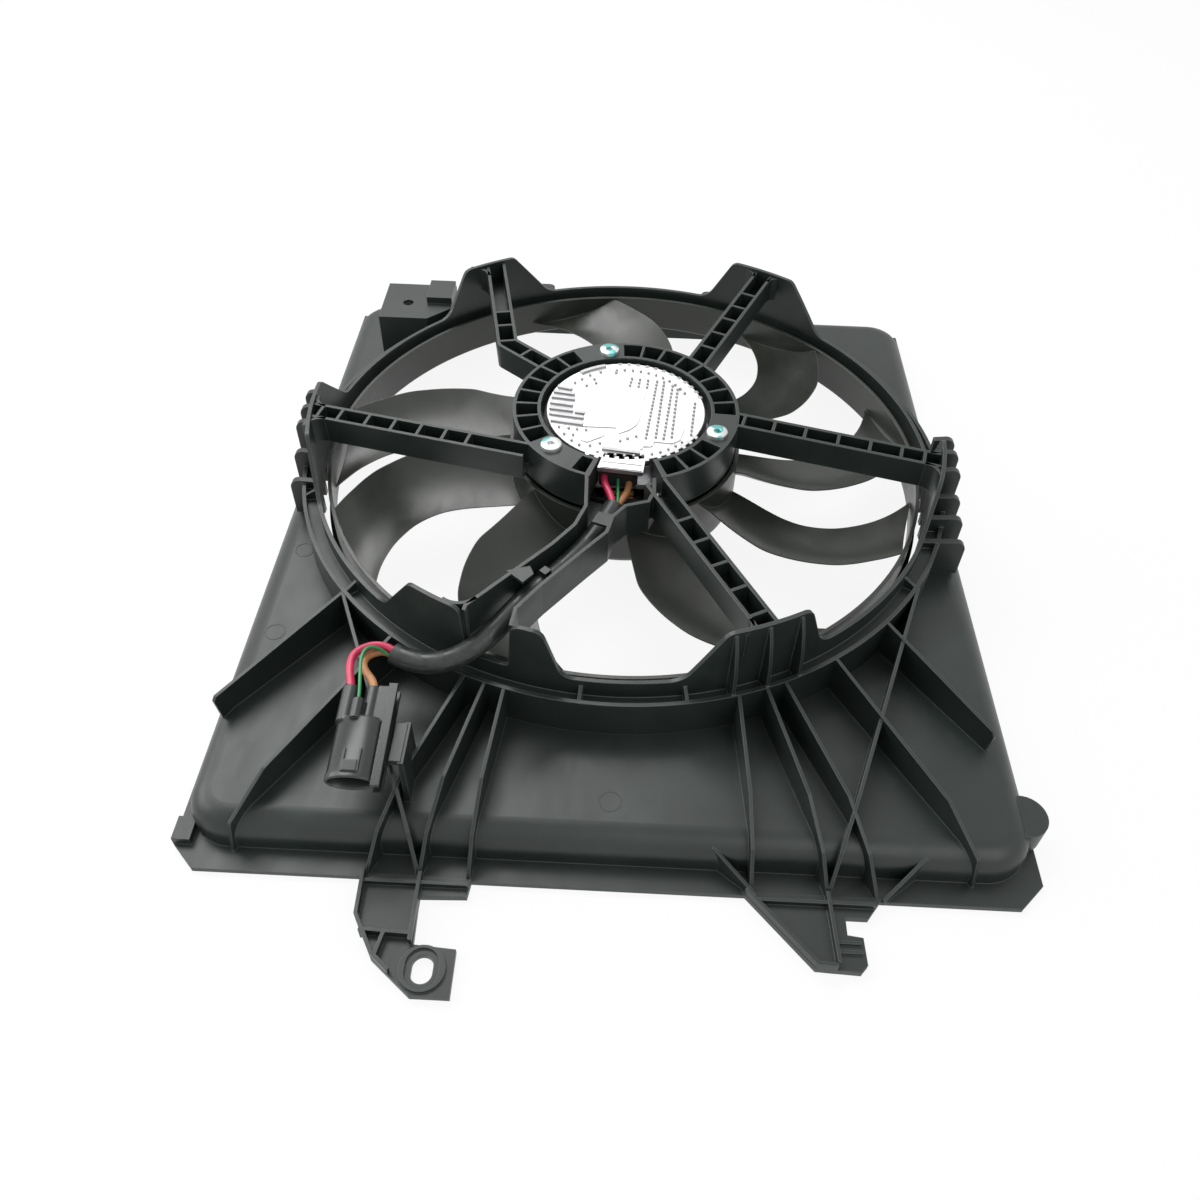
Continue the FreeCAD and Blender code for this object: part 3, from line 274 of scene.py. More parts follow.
def turned_metal(name, colour, roughness):
    """Metal with the fine rings that a lathe leaves."""
    made = Shader(name, Metallic=1.0)
    rings = made.node("ShaderNodeTexWave", wave_type="RINGS", rings_direction="Z")
    rings.inputs["Scale"].default_value = 900.0
    rings.inputs["Distortion"].default_value = 2.0
    made.link(made.place, rings.inputs["Vector"])
    made.paint(made.ramp(made.noise(scale=90.0), [(0.3, scaled(colour, 0.8)), (0.7, colour)]))
    made.roughen(rings.outputs["Fac"], roughness - 0.06, roughness + 0.08)
    made.bump(rings.outputs["Fac"], strength=0.08, distance=0.0001, soften=METAL_EDGE)
    return made.material


def wire_insulation(name, colour, roughness):
    """Extruded insulation: smooth, with faint draw lines and handling marks."""
    made = Shader(name, IOR=PLASTIC_IOR, Coat_Weight=0.15, Coat_Roughness=0.25)
    marks = made.noise(scale=120.0, detail=4.0, rough=0.6)
    made.paint(made.ramp(marks, [(0.35, scaled(colour, 0.78)), (0.6, colour)]))
    made.roughen(marks, roughness - 0.05, roughness + 0.1)
    made.bump(made.noise(scale=900.0, detail=2.0), strength=0.08, distance=0.0001)
    return made.material


def wrapped_tape(name, colour):
    """Black cloth tape wound in a spiral: soft overlaps with a fine weave."""
    made = Shader(name, IOR=PLASTIC_IOR)
    wave = made.node("ShaderNodeTexWave", wave_type="BANDS", bands_direction="X", wave_profile="SAW")
    wave.inputs["Scale"].default_value = 26.0
    wave.inputs["Distortion"].default_value = 1.2
    wave.inputs["Detail"].default_value = 2.0
    made.link(made.place, wave.inputs["Vector"])
    creases = made.noise(scale=240.0, detail=4.0, rough=0.7)
    made.paint(made.ramp(creases, [(0.3, scaled(colour, 0.7)), (0.7, scaled(colour, 1.7))]))
    made.roughen(wave.outputs["Fac"], 0.30, 0.46)
    mix = made.node("ShaderNodeMix", data_type="FLOAT")
    mix.inputs[0].default_value = 0.45
    made.link(wave.outputs["Fac"], mix.inputs[2])
    made.link(creases, mix.inputs[3])
    made.bump(mix.outputs[0], strength=0.5, distance=0.0004)
    return made.material


def circuit_board(name):
    """Green laminate with a faint grid of tracks."""
    made = Shader(name, Roughness=0.4)
    tracks = made.node("ShaderNodeTexBrick")
    tracks.inputs["Scale"].default_value = 60.0
    tracks.inputs["Color1"].default_value = (0.02, 0.16, 0.07, 1)
    tracks.inputs["Color2"].default_value = (0.03, 0.20, 0.09, 1)
    tracks.inputs["Mortar"].default_value = (0.05, 0.28, 0.12, 1)
    made.link(made.place, tracks.inputs["Vector"])
    made.paint(tracks.outputs["Color"])
    made.bump(tracks.outputs["Fac"], strength=0.1, distance=0.0001)
    return made.material


SHROUD_COLOUR = (0.013, 0.019, 0.017)
FAN_COLOUR = (0.026, 0.030, 0.024)
# Paler colour of edges: partly wear, partly painted highlight.
WEAR_AND_HIGHLIGHT_COLOUR = (0.11, 0.125, 0.12)
finishes = {
    "shroud": moulded_plastic("shroud_plastic", SHROUD_COLOUR, 0.40, 0.08, 1.7, 1400.0, wear_and_highlight=0.55),
    "fan": moulded_plastic("fan_plastic", FAN_COLOUR, 0.34, 0.10, 1.8, 1700.0, wear_and_highlight=0.3),
    "plug": moulded_plastic("plug_plastic", (0.020, 0.023, 0.023), 0.26, 0.06, 1.3, 2200.0, wear_and_highlight=0.3),
    "insulator": moulded_plastic("bobbin_plastic", (0.62, 0.60, 0.50), 0.5, 0.06, 1.1, 1500.0),
    "rubber": moulded_plastic("black_rubber", (0.018, 0.018, 0.018), 0.62, 0.08, 1.6, 900.0),
    "chip": moulded_plastic("chip_plastic", (0.02, 0.02, 0.02), 0.45, 0.05, 1.3, 2600.0),
    "die_cast": cast_metal("die_cast_aluminium", (0.80, 0.80, 0.81), 0.42, 1300.0, 0.35),
    "cover": cover_metal("cover_aluminium", (0.80, 0.80, 0.81)),
    "bolt": marked_bolt("bolt_zinc", (0.72, 0.74, 0.74), (0.10, 0.42, 0.40)),
    "bell": cast_metal("coated_steel", (0.12, 0.12, 0.125), 0.5, 900.0, 0.15),
    "lamination": cast_metal("lamination_steel", (0.36, 0.37, 0.39), 0.45, 500.0, 0.2),
    "magnet": cast_metal("ferrite", (0.09, 0.09, 0.10), 0.62, 700.0, 0.25),
    "copper": cast_metal("enamelled_copper", (0.72, 0.32, 0.14), 0.3, 1500.0, 0.4),
    "zinc": turned_metal("zinc_plated_steel", (0.74, 0.75, 0.74), 0.32),
    "bearing": turned_metal("bearing_steel", (0.66, 0.67, 0.69), 0.2),
    "brass": turned_metal("contact_brass", (0.78, 0.62, 0.32), 0.28),
    "tape": wrapped_tape("sleeve_tape", (0.022, 0.024, 0.024)),
    "red": wire_insulation("red_insulation", (0.62, 0.03, 0.10), 0.38),
    "orange": wire_insulation("orange_insulation", (0.52, 0.24, 0.10), 0.42),
    "green": wire_insulation("green_insulation", (0.03, 0.30, 0.10), 0.4),
    "board": circuit_board("board_laminate"),
}

# Finish of each CAD node that is shown as it is
NODE_FINISH = {
    "shroud_pan": "shroud", "motor_carrier": "shroud", "rotor_bell": "bell", "rotor_magnets": "magnet",
    "motor_shaft": "bearing", "fan_screws": "zinc", "motor_base": "die_cast", "front_bearing": "bearing",
    "rear_bearing": "bearing", "stator_core": "lamination", "stator_windings": "copper",
    "stator_insulators": "insulator", "board_posts": "insulator", "controller_board": "board",
    "filter_capacitors": "die_cast", "power_transistors": "chip", "cover_gasket": "rubber",
    "cable_grommet": "rubber",
}


def dress_nodes():
    for name, finish in NODE_FINISH.items():
        data = nodes[name].data
        data.materials.clear()
        data.materials.append(finishes[finish])


def plug_point(x, y, z):
    """A point in the plug's own axes, seen from the fan axis."""
    return (PLUG_CENTRE_X + x, PLUG_MOUTH_Y + y * math.cos(PLUG_TILT) - z * math.sin(PLUG_TILT),
            PLUG_MOUTH_Z + y * math.sin(PLUG_TILT) + z * math.cos(PLUG_TILT))


def shifted(points, dx, dy, dz):
    return [(x + dx, y + dy, z + dz) for x, y, z in points]


CORD_SIDES = 5
CORD_STEPS = 14


def cable(name, points, diameter, finish, node):
    """A cord along its route, drawn as one smooth spline, in place of its plain CAD tube."""
    curve = bpy.data.curves.new(name, "CURVE")
    curve.dimensions = "3D"
    curve.bevel_depth = diameter * MM / 2
    curve.bevel_resolution = CORD_SIDES
    curve.use_fill_caps = True
    curve.resolution_u = CORD_STEPS
    spline = curve.splines.new("NURBS")
    spline.points.add(len(points) - 1)
    for control, point in zip(spline.points, points):
        control.co = (*fan_point(*point), 1.0)
    spline.order_u = 3
    spline.use_endpoint_u = True
    curve.materials.append(finishes[finish])
    piece = bpy.data.objects.new(name, curve)
    scene.collection.objects.link(piece)
    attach(piece, "shroud")
    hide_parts(node)
    length = line_length(piece)
    return piece


def line_length(piece):
    """Length of a curve's own line, measured on a copy with no thickness."""
    bare = piece.data.copy()
    bare.bevel_depth = 0.0
    probe = bpy.data.objects.new("probe", bare)
    mesh = bpy.data.meshes.new_from_object(probe)
    corners = [v.co for v in mesh.vertices]
    total = sum((b - a).length for a, b in zip(corners, corners[1:]))
    bpy.data.meshes.remove(mesh)
    bpy.data.objects.remove(probe)
    bpy.data.curves.remove(bare)
    return total


# How far each lead's last two points lie from the plug's shoulder
POWER_ENTRY = (18.0, 8.0)
SIGNAL_ENTRY = (11.0, 1.0)


def into_plug(hole, depths):
    return [plug_point(hole[0], PLUG_LENGTH + depth, hole[1]) for depth in depths]


def wiring():
    """Taped sleeve with the three leads that run through it from the motor into the plug."""
    inside = SLEEVE_ROUTE[:-1] + LEADS_BEYOND
    red = RED_START + shifted(inside, 0, 0, LEAD_RISE) + RED_END + into_plug(POWER_HOLES[0], POWER_ENTRY)
    orange = ORANGE_START + shifted(inside, 0, 0, -LEAD_RISE) + ORANGE_END
    orange += into_plug(POWER_HOLES[1], POWER_ENTRY)
    green = GREEN_START + shifted(inside, *SIGNAL_ASIDE, 0) + GREEN_END + into_plug(SIGNAL_HOLE, SIGNAL_ENTRY)
    cable("wire_sleeve", SLEEVE_ROUTE, SLEEVE_DIAMETER, "tape", "cable_sleeve")
    cable("wire_red", red, LEAD_DIAMETER, "red", "red_lead")
    cable("wire_orange", orange, LEAD_DIAMETER, "orange", "orange_lead")
    cable("wire_green", green, SIGNAL_DIAMETER, "green", "green_lead")


def turned_to(degrees, radius, z=0.0):
    """Point at an angle and a radius round the fan axis."""
    angle = math.radians(degrees)
    return Vector((radius * math.cos(angle), radius * math.sin(angle), z))


def arc(x, y, radius, start, end, steps):
    """Points along an arc from one angle to another, both ends included."""
    turns = [math.radians(start + (end - start) * step / steps) for step in range(steps + 1)]
    return [(x + radius * math.cos(turn), y + radius * math.sin(turn)) for turn in turns]


class Solids:
    """Closed shapes gathered into one mesh, in millimetres from the fan axis."""

    def __init__(self):
        self.corners = []
        self.faces = []

    def skin(self, rings, capped=True):
        """Skin over rings with equal numbers of corners, closed by flat ends or onto itself."""
        count = len(rings[0])
        first = len(self.corners)
        for ring in rings:
            self.corners += [fan_point(*corner) for corner in ring]
        for index in range(len(rings) - 1 if capped else len(rings)):
            a = first + index * count
            b = first + (index + 1) % len(rings) * count
            for step in range(count):
                after = (step + 1) % count
                self.faces.append((a + step, a + after, b + after, b + step))
        if capped:
            last = first + (len(rings) - 1) * count
            self.faces.append(tuple(range(first, first + count)))
            self.faces.append(tuple(range(last, last + count)))

    def prism(self, outline, low, high):
        """Upright prism over an outline."""
        self.skin([[(x, y, low) for x, y in outline], [(x, y, high) for x, y in outline]])

    def beam(self, start, end, half_width, low, high):
        """Straight bar from one point to another."""
        along = (Vector(end) - Vector(start)).normalized()
        side = Vector((-along.y, along.x)) * half_width
        corners = [Vector(start) + side, Vector(start) - side, Vector(end) - side, Vector(end) + side]
        self.prism([tuple(corner) for corner in corners], low, high)

    def radial_plate(self, profile, degrees, thickness):
        """Plate with a profile of radius and height, standing along a radius."""
        aside = turned_to(degrees + 90.0, thickness / 2)
        middle = [turned_to(degrees, radius, z) for radius, z in profile]
        self.skin([[corner - aside for corner in middle], [corner + aside for corner in middle]])

    def turned(self, profile, place=(0, 0, 0), along=(0, 0, 1), wide=(1, 0, 0), around=64, capped=True):
        """Oval rings (half width, half height, distance) stacked along an axis."""
        along = Vector(along).normalized()
        wide = Vector(wide)
        tall = along.cross(wide)
        turns = [2 * math.pi * step / around for step in range(around)]
        rings = []
        for half_width, half_height, distance in profile:
            centre = Vector(place) + along * distance
            rings.append([centre + wide * half_width * math.cos(turn) + tall * half_height * math.sin(turn)
                          for turn in turns])
        self.skin(rings, capped)

    def lathe(self, profile, **placing):
        """Round rings (radius, distance) stacked along an axis."""
        self.turned([(radius, radius, distance) for radius, distance in profile], **placing)

    def finish(self, name, finish, slot, body="shroud", node=None, smooth=35.0):
        """Make the piece, in place of a CAD node where one is named, smooth below an angle."""
        mesh = bpy.data.meshes.new(name)
        mesh.from_pydata(self.corners, [], self.faces)
        work = bmesh.new()
        work.from_mesh(mesh)
        bmesh.ops.recalc_face_normals(work, faces=work.faces)
        work.to_mesh(mesh)
        work.free()
        mesh.polygons.foreach_set("use_smooth", [True] * len(mesh.polygons))
        mesh.set_sharp_from_angle(angle=math.radians(smooth))
        mesh.materials.append(finishes[finish])
        piece = bpy.data.objects.new(name, mesh)
        scene.collection.objects.link(piece)
        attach(piece, body)
        if node:
            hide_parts(node)
        return piece


# Ejector marks on the pan's top
EJECTOR_MARKS = [(-207.0, -81.6), (-208.2, -153.5), (1.0, -262.0)]
MARK_RADIUS = 6.0
MARK_HALF_WIDTH = 0.35
MARK_HALF_TOP = 0.2
MARK_HEIGHT = 0.2
MARK_ROOT = 0.3


def ejector_marks():
    """Thin raised rings that the mould's ejector pins leave."""
    outer = MARK_RADIUS + MARK_HALF_WIDTH
    inner = MARK_RADIUS - MARK_HALF_WIDTH
    crown = [(MARK_RADIUS + MARK_HALF_TOP, MARK_HEIGHT), (MARK_RADIUS - MARK_HALF_TOP, MARK_HEIGHT)]
    profile = [(outer, 0.0)] + crown + [(inner, 0.0), (inner, -MARK_ROOT), (outer, -MARK_ROOT)]
    made = Solids()
    for x, y in EJECTOR_MARKS:
        made.lathe(profile, place=(x, y, PAN_TOP), around=48, capped=False)
    made.finish("ejector_marks", "shroud", "shroud_plastic")


# Barrel round the fan
BARREL_BORE = 205.3
BARREL_OUTER = 207.8
BARREL_FOOT = 40.0
BARREL_TOP = 57.6
BARREL_STEPS = 1200
CREST_TOP = 92.0
CREST_CORNER = 7.0
# Angles of a crest's feet and of its top, rounding of its feet, angles of the ribs outside it
Crest = namedtuple("Crest", "foot_start foot_end top_start top_end start_round end_round ribs")
CRESTS = [
    Crest(44.9, 72.6, 53.3, 67.3, 14.0, 14.0, [54.5, 60.0, 66.0]),
    Crest(108.9, 133.4, 116.7, 128.2, 14.0, 14.0, [118.5, 123.0, 127.0]),
    Crest(167.2, 200.0, 176.9, 193.0, 14.0, 14.0, []),
    Crest(229.0, 246.1, 236.0, 245.9, 14.0, 3.0, []),
    Crest(253.7, 262.0, 253.9, 259.0, 4.0, 10.0, []),
    Crest(280.6, 304.3, 286.9, 300.9, 14.0, 14.0, [288.0, 293.5, 299.0]),
    Crest(334.0, 358.0, 341.0, 354.0, 14.0, 14.0, []),
]
# Outer edge of a crest's rib: distance outside the barrel, height
RIB_EDGE = [(7.0, 66.0), (4.0, 80.0), (0.8, 90.0)]
RIB_TOP = 90.0
RIB_THICKNESS = 2.0
GUTTER_START = 207.0
GUTTER_LIP = 217.4
GUTTER_WALL = 2.5
GUTTER_FLOOR = 45.5
GUTTER_TOP = 49.7
GUTTER_FOOT = 21.6
WEB_ANGLES = [-139.5, -95.0, -79.0, -32.2, 28.0, 85.0, 101.0, 148.0, -165.0]
WEB_LIP_TOP = 49.2
WEB_BARREL_TOP = 53.7
# Side fins: place along y, height
LEFT_FINS = [(17.0, 78.0), (2.0, 77.0), (-12.0, 75.0), (-27.0, 62.0), (-45.0, 52.0)]
RIGHT_FINS = [(-4.0, 77.0), (-18.0, 77.0), (-31.0, 73.0), (-45.0, 62.0), (-60.0, 57.0), (-76.0, 51.0)]
FIN_REACH = 221.0
FIN_THICKNESS = 4.0
FIN_CORNER = 6.0
FIN_FALL = 1.0


def rise(inward, run, foot):
    """Height of a crest's flank at a distance inward from its foot, with the foot and shoulder rounded."""
    slope = math.atan2(CREST_TOP - BARREL_TOP, run)
    back = foot * math.tan(slope / 2)
    shoulder = CREST_CORNER * math.tan(slope / 2)
    if inward <= -back:
        return BARREL_TOP
    if inward < back * math.cos(slope):
        return BARREL_TOP + foot - math.sqrt(max(0.0, foot ** 2 - (inward + back) ** 2))
    if inward < run - shoulder * math.cos(slope):
        return BARREL_TOP + inward * math.tan(slope)
    if inward < run + shoulder:
        short = inward - run - shoulder
        return CREST_TOP - CREST_CORNER + math.sqrt(max(0.0, CREST_CORNER ** 2 - short ** 2))
    return CREST_TOP


def arc_between(start, end):
    """Length along the bore from one angle to another, negative where the second comes first."""
    return math.radians((end - start + 180.0) % 360.0 - 180.0) * BARREL_BORE


def rim_height(degrees):
    """Height of the barrel's top edge at an angle."""
    heights = [BARREL_TOP]
    for crest in CRESTS:
        start_run = arc_between(crest.foot_start, crest.top_start)
        end_run = arc_between(crest.top_end, crest.foot_end)
        heights.append(min(rise(arc_between(crest.foot_start, degrees), start_run, crest.start_round),
                           rise(arc_between(degrees, crest.foot_end), end_run, crest.end_round)))
    return max(heights)


def rim(made):
    """Wall round the fan, whose top edge rises into the crests."""
    rings = []
    for step in range(BARREL_STEPS):
        degrees = 360.0 * step / BARREL_STEPS
        top = rim_height(degrees)
        section = [(BARREL_BORE, BARREL_FOOT), (BARREL_OUTER, BARREL_FOOT)]
        section += [(BARREL_OUTER, top), (BARREL_BORE, top)]
        rings.append([turned_to(degrees, radius, z) for radius, z in section])
    made.skin(rings, capped=False)


def gutter(made):
    """Shelf outside the wall with its hanging lip, the webs on it and the ribs behind the crests."""
    inner = GUTTER_LIP - GUTTER_WALL
    under = GUTTER_FLOOR - GUTTER_WALL
    section = [(GUTTER_START, GUTTER_FLOOR), (inner, GUTTER_FLOOR), (inner, GUTTER_TOP)]
    section += [(GUTTER_LIP, GUTTER_TOP), (GUTTER_LIP, GUTTER_FOOT), (inner, GUTTER_FOOT)]
    section += [(inner, under), (GUTTER_START, under)]
    made.lathe(section, around=240, capped=False)
    root = BARREL_OUTER - SUNK
    low = GUTTER_FLOOR - SUNK
    rib = [(root, low), (GUTTER_LIP - SUNK, low), (GUTTER_LIP - SUNK, GUTTER_TOP)]
    rib += [(BARREL_OUTER + outside, z) for outside, z in RIB_EDGE]
    rib.append((root, RIB_TOP))
    for crest in CRESTS:
        for degrees in crest.ribs:
            made.radial_plate(rib, degrees, RIB_THICKNESS)
    web = [(root, low), (inner + SUNK, low), (inner + SUNK, WEB_LIP_TOP), (root, WEB_BARREL_TOP)]
    for degrees in WEB_ANGLES:
        made.radial_plate(web, degrees, RIB_THICKNESS)


def side_fins(made):
    """Upright fins at both sides, each with a rounded outer corner."""
    for side, fins in ((-1, LEFT_FINS), (1, RIGHT_FINS)):
        for y, height in fins:
            inner = math.sqrt(BARREL_BORE ** 2 - y ** 2) + (BARREL_OUTER - BARREL_BORE) / 2
            profile = [(inner, PAN_TOP), (FIN_REACH, PAN_TOP)]
            profile += arc(FIN_REACH - FIN_CORNER, height - FIN_CORNER, FIN_CORNER, 0.0, 90.0, steps=6)
            profile.append((inner, height - FIN_FALL))
            made.skin([[(side * x, level, z) for x, z in profile] for level in (y, y + FIN_THICKNESS)])


def barrel():
    """Ring round the fan with its gutter, rounded crests, ribs and side fins."""
    made = Solids()
    rim(made)
    gutter(made)
    side_fins(made)
    made.finish("barrel", "shroud", "shroud_plastic", node="shroud_barrel")


# Where arm walls widen at the barrel: a point on the arm's middle line, a point it runs to, side, radius
ARM_FLARES = [
    ((-62.0, -49.0), (-215.0, -15.0), 1, 9.5), ((-62.0, -49.0), (-215.0, -15.0), -1, 8.0),
    ((66.0, -6.4), (214.0, -45.0), 1, 7.0), ((66.0, -6.4), (214.0, -45.0), -1, 10.0),
    ((40.0, 37.5), (119.0, 215.0), 1, 7.0), ((40.0, 37.5), (119.0, 215.0), -1, 8.0),
    ((-86.0, 70.0), (-113.5, 214.0), 1, 12.0), ((20.0, -74.0), (94.0, -212.0), -1, 7.0),
]
ARM_HALF = 7.3
ARM_WALL = 2.2
ARM_FOOT = 72.0
ARM_TOP = 90.0
# The same for the outside of the cable channel's wall
CHANNEL_FLARE = ((-61.0, -157.0), (-83.5, -183.5), -1, 12.0)
CHANNEL_FOOT = 66.0


def flare(made, start, towards, side, radius, half_width, low):
    """Wall that bends a quarter turn from a straight wall to the barrel's bore."""
    along = (Vector(towards) - Vector(start)).normalized()
    across = Vector((-along.y, along.x)) * side
    edge = Vector(start) + across * half_width
    reach = -edge.dot(along) + math.sqrt(edge.dot(along) ** 2 - edge.dot(edge) + BARREL_BORE ** 2)
    centre = edge + along * (reach - radius) + across * radius
    bend = arc(0.0, 0.0, radius, 0.0, 90.0, steps=12) + arc(0.0, 0.0, radius + ARM_WALL, 90.0, 0.0, steps=12)
    made.prism([tuple(centre - across * aside + along * ahead) for aside, ahead in bend], low, ARM_TOP)


def arm_flares():
    """Rounded walls where the arms and the cable channel run into the crests."""
    made = Solids()
    for place in ARM_FLARES:
        flare(made, *place, ARM_HALF, ARM_FOOT)
    flare(made, *CHANNEL_FLARE, 0.0, CHANNEL_FOOT)
    made.finish("arm_flares", "shroud", "shroud_plastic")


# Fan: angles of its blades, and a blade from hub to band as radius, turns of the raised edge and of the
# front edge, heights of the front edge and of the raised edge
BLADE_ANGLES = [95.5, 44.5, 6.4, -24.5, -63.4, -112.8, -157.9, 171.0]
BLADE_SECTIONS = [
    (76.5, -25.4, 10.9, 36.6, 59.3), (85.0, -24.4, 8.4, 36.6, 58.8), (95.0, -23.5, 5.9, 36.4, 56.4),
    (105.0, -22.7, 3.9, 36.2, 54.4), (116.0, -21.9, 2.4, 36.1, 53.0), (128.0, -21.0, 1.9, 36.2, 52.2),
    (139.0, -19.0, 2.6, 36.4, 51.5), (150.0, -16.6, 4.1, 36.6, 51.0), (159.0, -14.4, 6.0, 36.7, 50.7),
    (168.0, -12.1, 8.2, 36.8, 50.6), (176.0, -9.5, 10.5, 36.7, 50.5), (184.0, -6.6, 13.1, 36.6, 50.5),
    (191.0, -4.2, 15.7, 36.2, 50.5), (198.6, -1.5, 18.6, 35.8, 50.5),
]
BLADE_CAMBER = 0.10
BLADE_HALF = 1.2
BLADE_EDGE = 0.35
BLADE_STEPS = 14
BLADE_PARTS = 4
HUB_BORE = 12.0
HUB_RADIUS = 78.0
HUB_WALL = 2.5
HUB_FLOOR = 20.0
HUB_TOP = 62.0
HUB_SHOULDER = [(70.0, 20.0), (73.0, 20.4), (75.8, 21.7), (77.4, 23.8), (78.0, 26.5)]
HUB_HOLLOW = [(75.5, 27.0), (74.0, 24.0), (71.0, 22.5)]
BOSS_OUTER = 42.0
BOSS_INNER = 28.0
BOSS_TOP = 28.0
BAND_RADIUS = 200.3
BAND_WALL = 2.4
BAND_TOP = 52.3
BAND_BEND = 31.0
BAND_LIP = 202.9
BAND_LIP_TOP = 28.5
BAND_FOOT = 26.0
# Inner corner at the band's foot: distance outside its bore, height
BAND_CORNER = [(1.0, 26.0), (0.2, 27.0)]


def smooth_sections(sections):
    """Sections with others between them, on a smooth curve that passes through them all."""
    made = []
    for index in range(len(sections) - 1):
        around = [sections[max(0, index - 1)], sections[index], sections[index + 1],
                  sections[min(len(sections) - 1, index + 2)]]
        for part in range(BLADE_PARTS):
            t = part / BLADE_PARTS
            weights = [(-t ** 3 + 2 * t ** 2 - t) / 2, (3 * t ** 3 - 5 * t ** 2 + 2) / 2,
                       (-3 * t ** 3 + 4 * t ** 2 + t) / 2, (t ** 3 - t ** 2) / 2]
            made.append([sum(weight * value for weight, value in zip(weights, values))
                         for values in zip(*around)])
    return made + [list(sections[-1])]


def blade_ring(radius, raised_turn, front_turn, front_z, raised_z, angle):
    """Closed cambered strip across a blade: down one face and back up the other."""
    front = turned_to(angle + front_turn, radius, front_z)
    raised = turned_to(angle + raised_turn, radius, raised_z)
    chord = raised - front
    outward = turned_to(angle + (raised_turn + front_turn) / 2, 1.0)
    normal = chord.cross(outward).normalized()
    if normal.z > 0:
        normal = -normal
    dip = chord.length * BLADE_CAMBER
    upper = []
    lower = []
    for step in range(BLADE_STEPS + 1):
        share = step / BLADE_STEPS
        bow = 4 * share * (1 - share)
        middle = front + chord * share + normal * (dip * bow)
        half = BLADE_HALF * (BLADE_EDGE + (1 - BLADE_EDGE) * bow)
        upper.append(middle - normal * half)
        lower.append(middle + normal * half)
    return upper + lower[::-1]


def fan():
    """Hub cup, eight swept blades and the band that turns with them."""
    made = Solids()
    sections = smooth_sections(BLADE_SECTIONS)
    for angle in BLADE_ANGLES:
        made.skin([blade_ring(*section, angle) for section in sections])
    floor_top = HUB_FLOOR + HUB_WALL
    cup = [(HUB_BORE, HUB_FLOOR)] + HUB_SHOULDER + [(HUB_RADIUS, HUB_TOP), (HUB_RADIUS - HUB_WALL, HUB_TOP)]
    cup += HUB_HOLLOW + [(BOSS_OUTER, floor_top), (BOSS_OUTER, BOSS_TOP), (BOSS_INNER, BOSS_TOP)]
    cup += [(BOSS_INNER, floor_top), (HUB_BORE, floor_top)]
    made.lathe(cup, around=120, capped=False)
    inner = BAND_RADIUS - BAND_WALL
    band = [(inner, BAND_LIP_TOP), (inner, BAND_TOP), (BAND_RADIUS, BAND_TOP), (BAND_RADIUS, BAND_BEND),
            (BAND_LIP, BAND_LIP_TOP), (BAND_LIP, BAND_FOOT)]
    band += [(inner + outward, z) for outward, z in BAND_CORNER]
    made.lathe(band, around=240, capped=False)
    made.finish("fan_wheel", "fan", "fan_plastic", body="rotor", node="cooling_fan", smooth=30.0)


# Bolts: shank, flat head with a rounded rim, recess
BOLT_ANGLES = [-23.0, 102.0, 224.0]
BOLT_CIRCLE = 64.5
BOLT_PROFILE = [(3.0, 66.0), (3.0, 89.8), (6.8, 89.8), (6.8, 92.0), (6.6, 92.5), (6.1, 92.8), (2.6, 92.8),
                (2.2, 92.5), (2.2, 90.8)]


def bolts():
    """Flat round bolt heads with a recess."""
    made = Solids()
    for angle in BOLT_ANGLES:
        made.lathe(BOLT_PROFILE, place=turned_to(angle, BOLT_CIRCLE), around=48)
    made.finish("bolts", "bolt", "zinc_steel", node="mounting_bolts")


# Cover of the motor's controller
COVER_FOOT = 84.0
COVER_TOP = 88.0
COVER_PLATE = 52.6
PLATE_FOOT_EDGE = 0.4
PLATE_TOP_EDGE = 0.5
TOOTH_RADII = (50.5, 54.0)
TOOTH_THICKNESS = 2.6
TOOTH_SLOPE = 0.6
TOOTH_ANGLES = [angle for angle in range(-65, 102, 7) if not -24 < angle < 18] + list(range(244, 290, 7))
PLATEAU_HEIGHT = 0.7
RIDGE_HALF = 0.65
BAR_HALF = 1.3
BAR_HEIGHT = 1.6
# Pin: radius, height above the cover
PIN_PROFILE = [(1.05, -1.0), (0.95, 1.3), (0.7, 1.6)]
COVER_BARS = [
    ((-46.7, 21.3), (-37.0, 18.6)), ((-49.0, 15.4), (-34.7, 13.1)), ((-50.2, 9.6), (-34.3, 7.5)),
    ((-50.6, 3.2), (-35.3, 0.8)), ((-50.6, -3.0), (-34.9, -5.2)), ((-50.3, -8.9), (-27.2, -12.3)),
    ((-48.8, -15.9), (-27.5, -19.2)), ((-33.5, -6.2), (-26.8, -7.4)), ((-14.1, -43.1), (10.1, -46.4)),
]
# Curved bar: inner and outer radius, start and end angle
CURVED_BAR = (48.4, 51.0, 108.0, 130.0)
COVER_PLATEAU = [
    (-27.0, 18.2), (-19.0, 23.0), (-13.1, 29.5), (-7.7, 31.1), (-2.0, 23.0), (13.0, 21.0), (9.5, -10.2),
    (7.6, -16.8), (3.2, -22.3), (-3.8, -27.0), (-6.0, -21.0), (-27.5, -21.0),
]
COVER_RIDGES = [
    [(-13.0, -22.0), (-14.0, -29.5), (-24.0, -36.4), (-28.0, -34.8)],
    [(10.7, -42.0), (11.8, -38.6), (17.2, -38.4), (18.4, -33.2), (30.2, -34.3), (35.0, -31.0), (37.7, -20.6),
     (40.6, 6.2), (41.4, 13.2)],
]
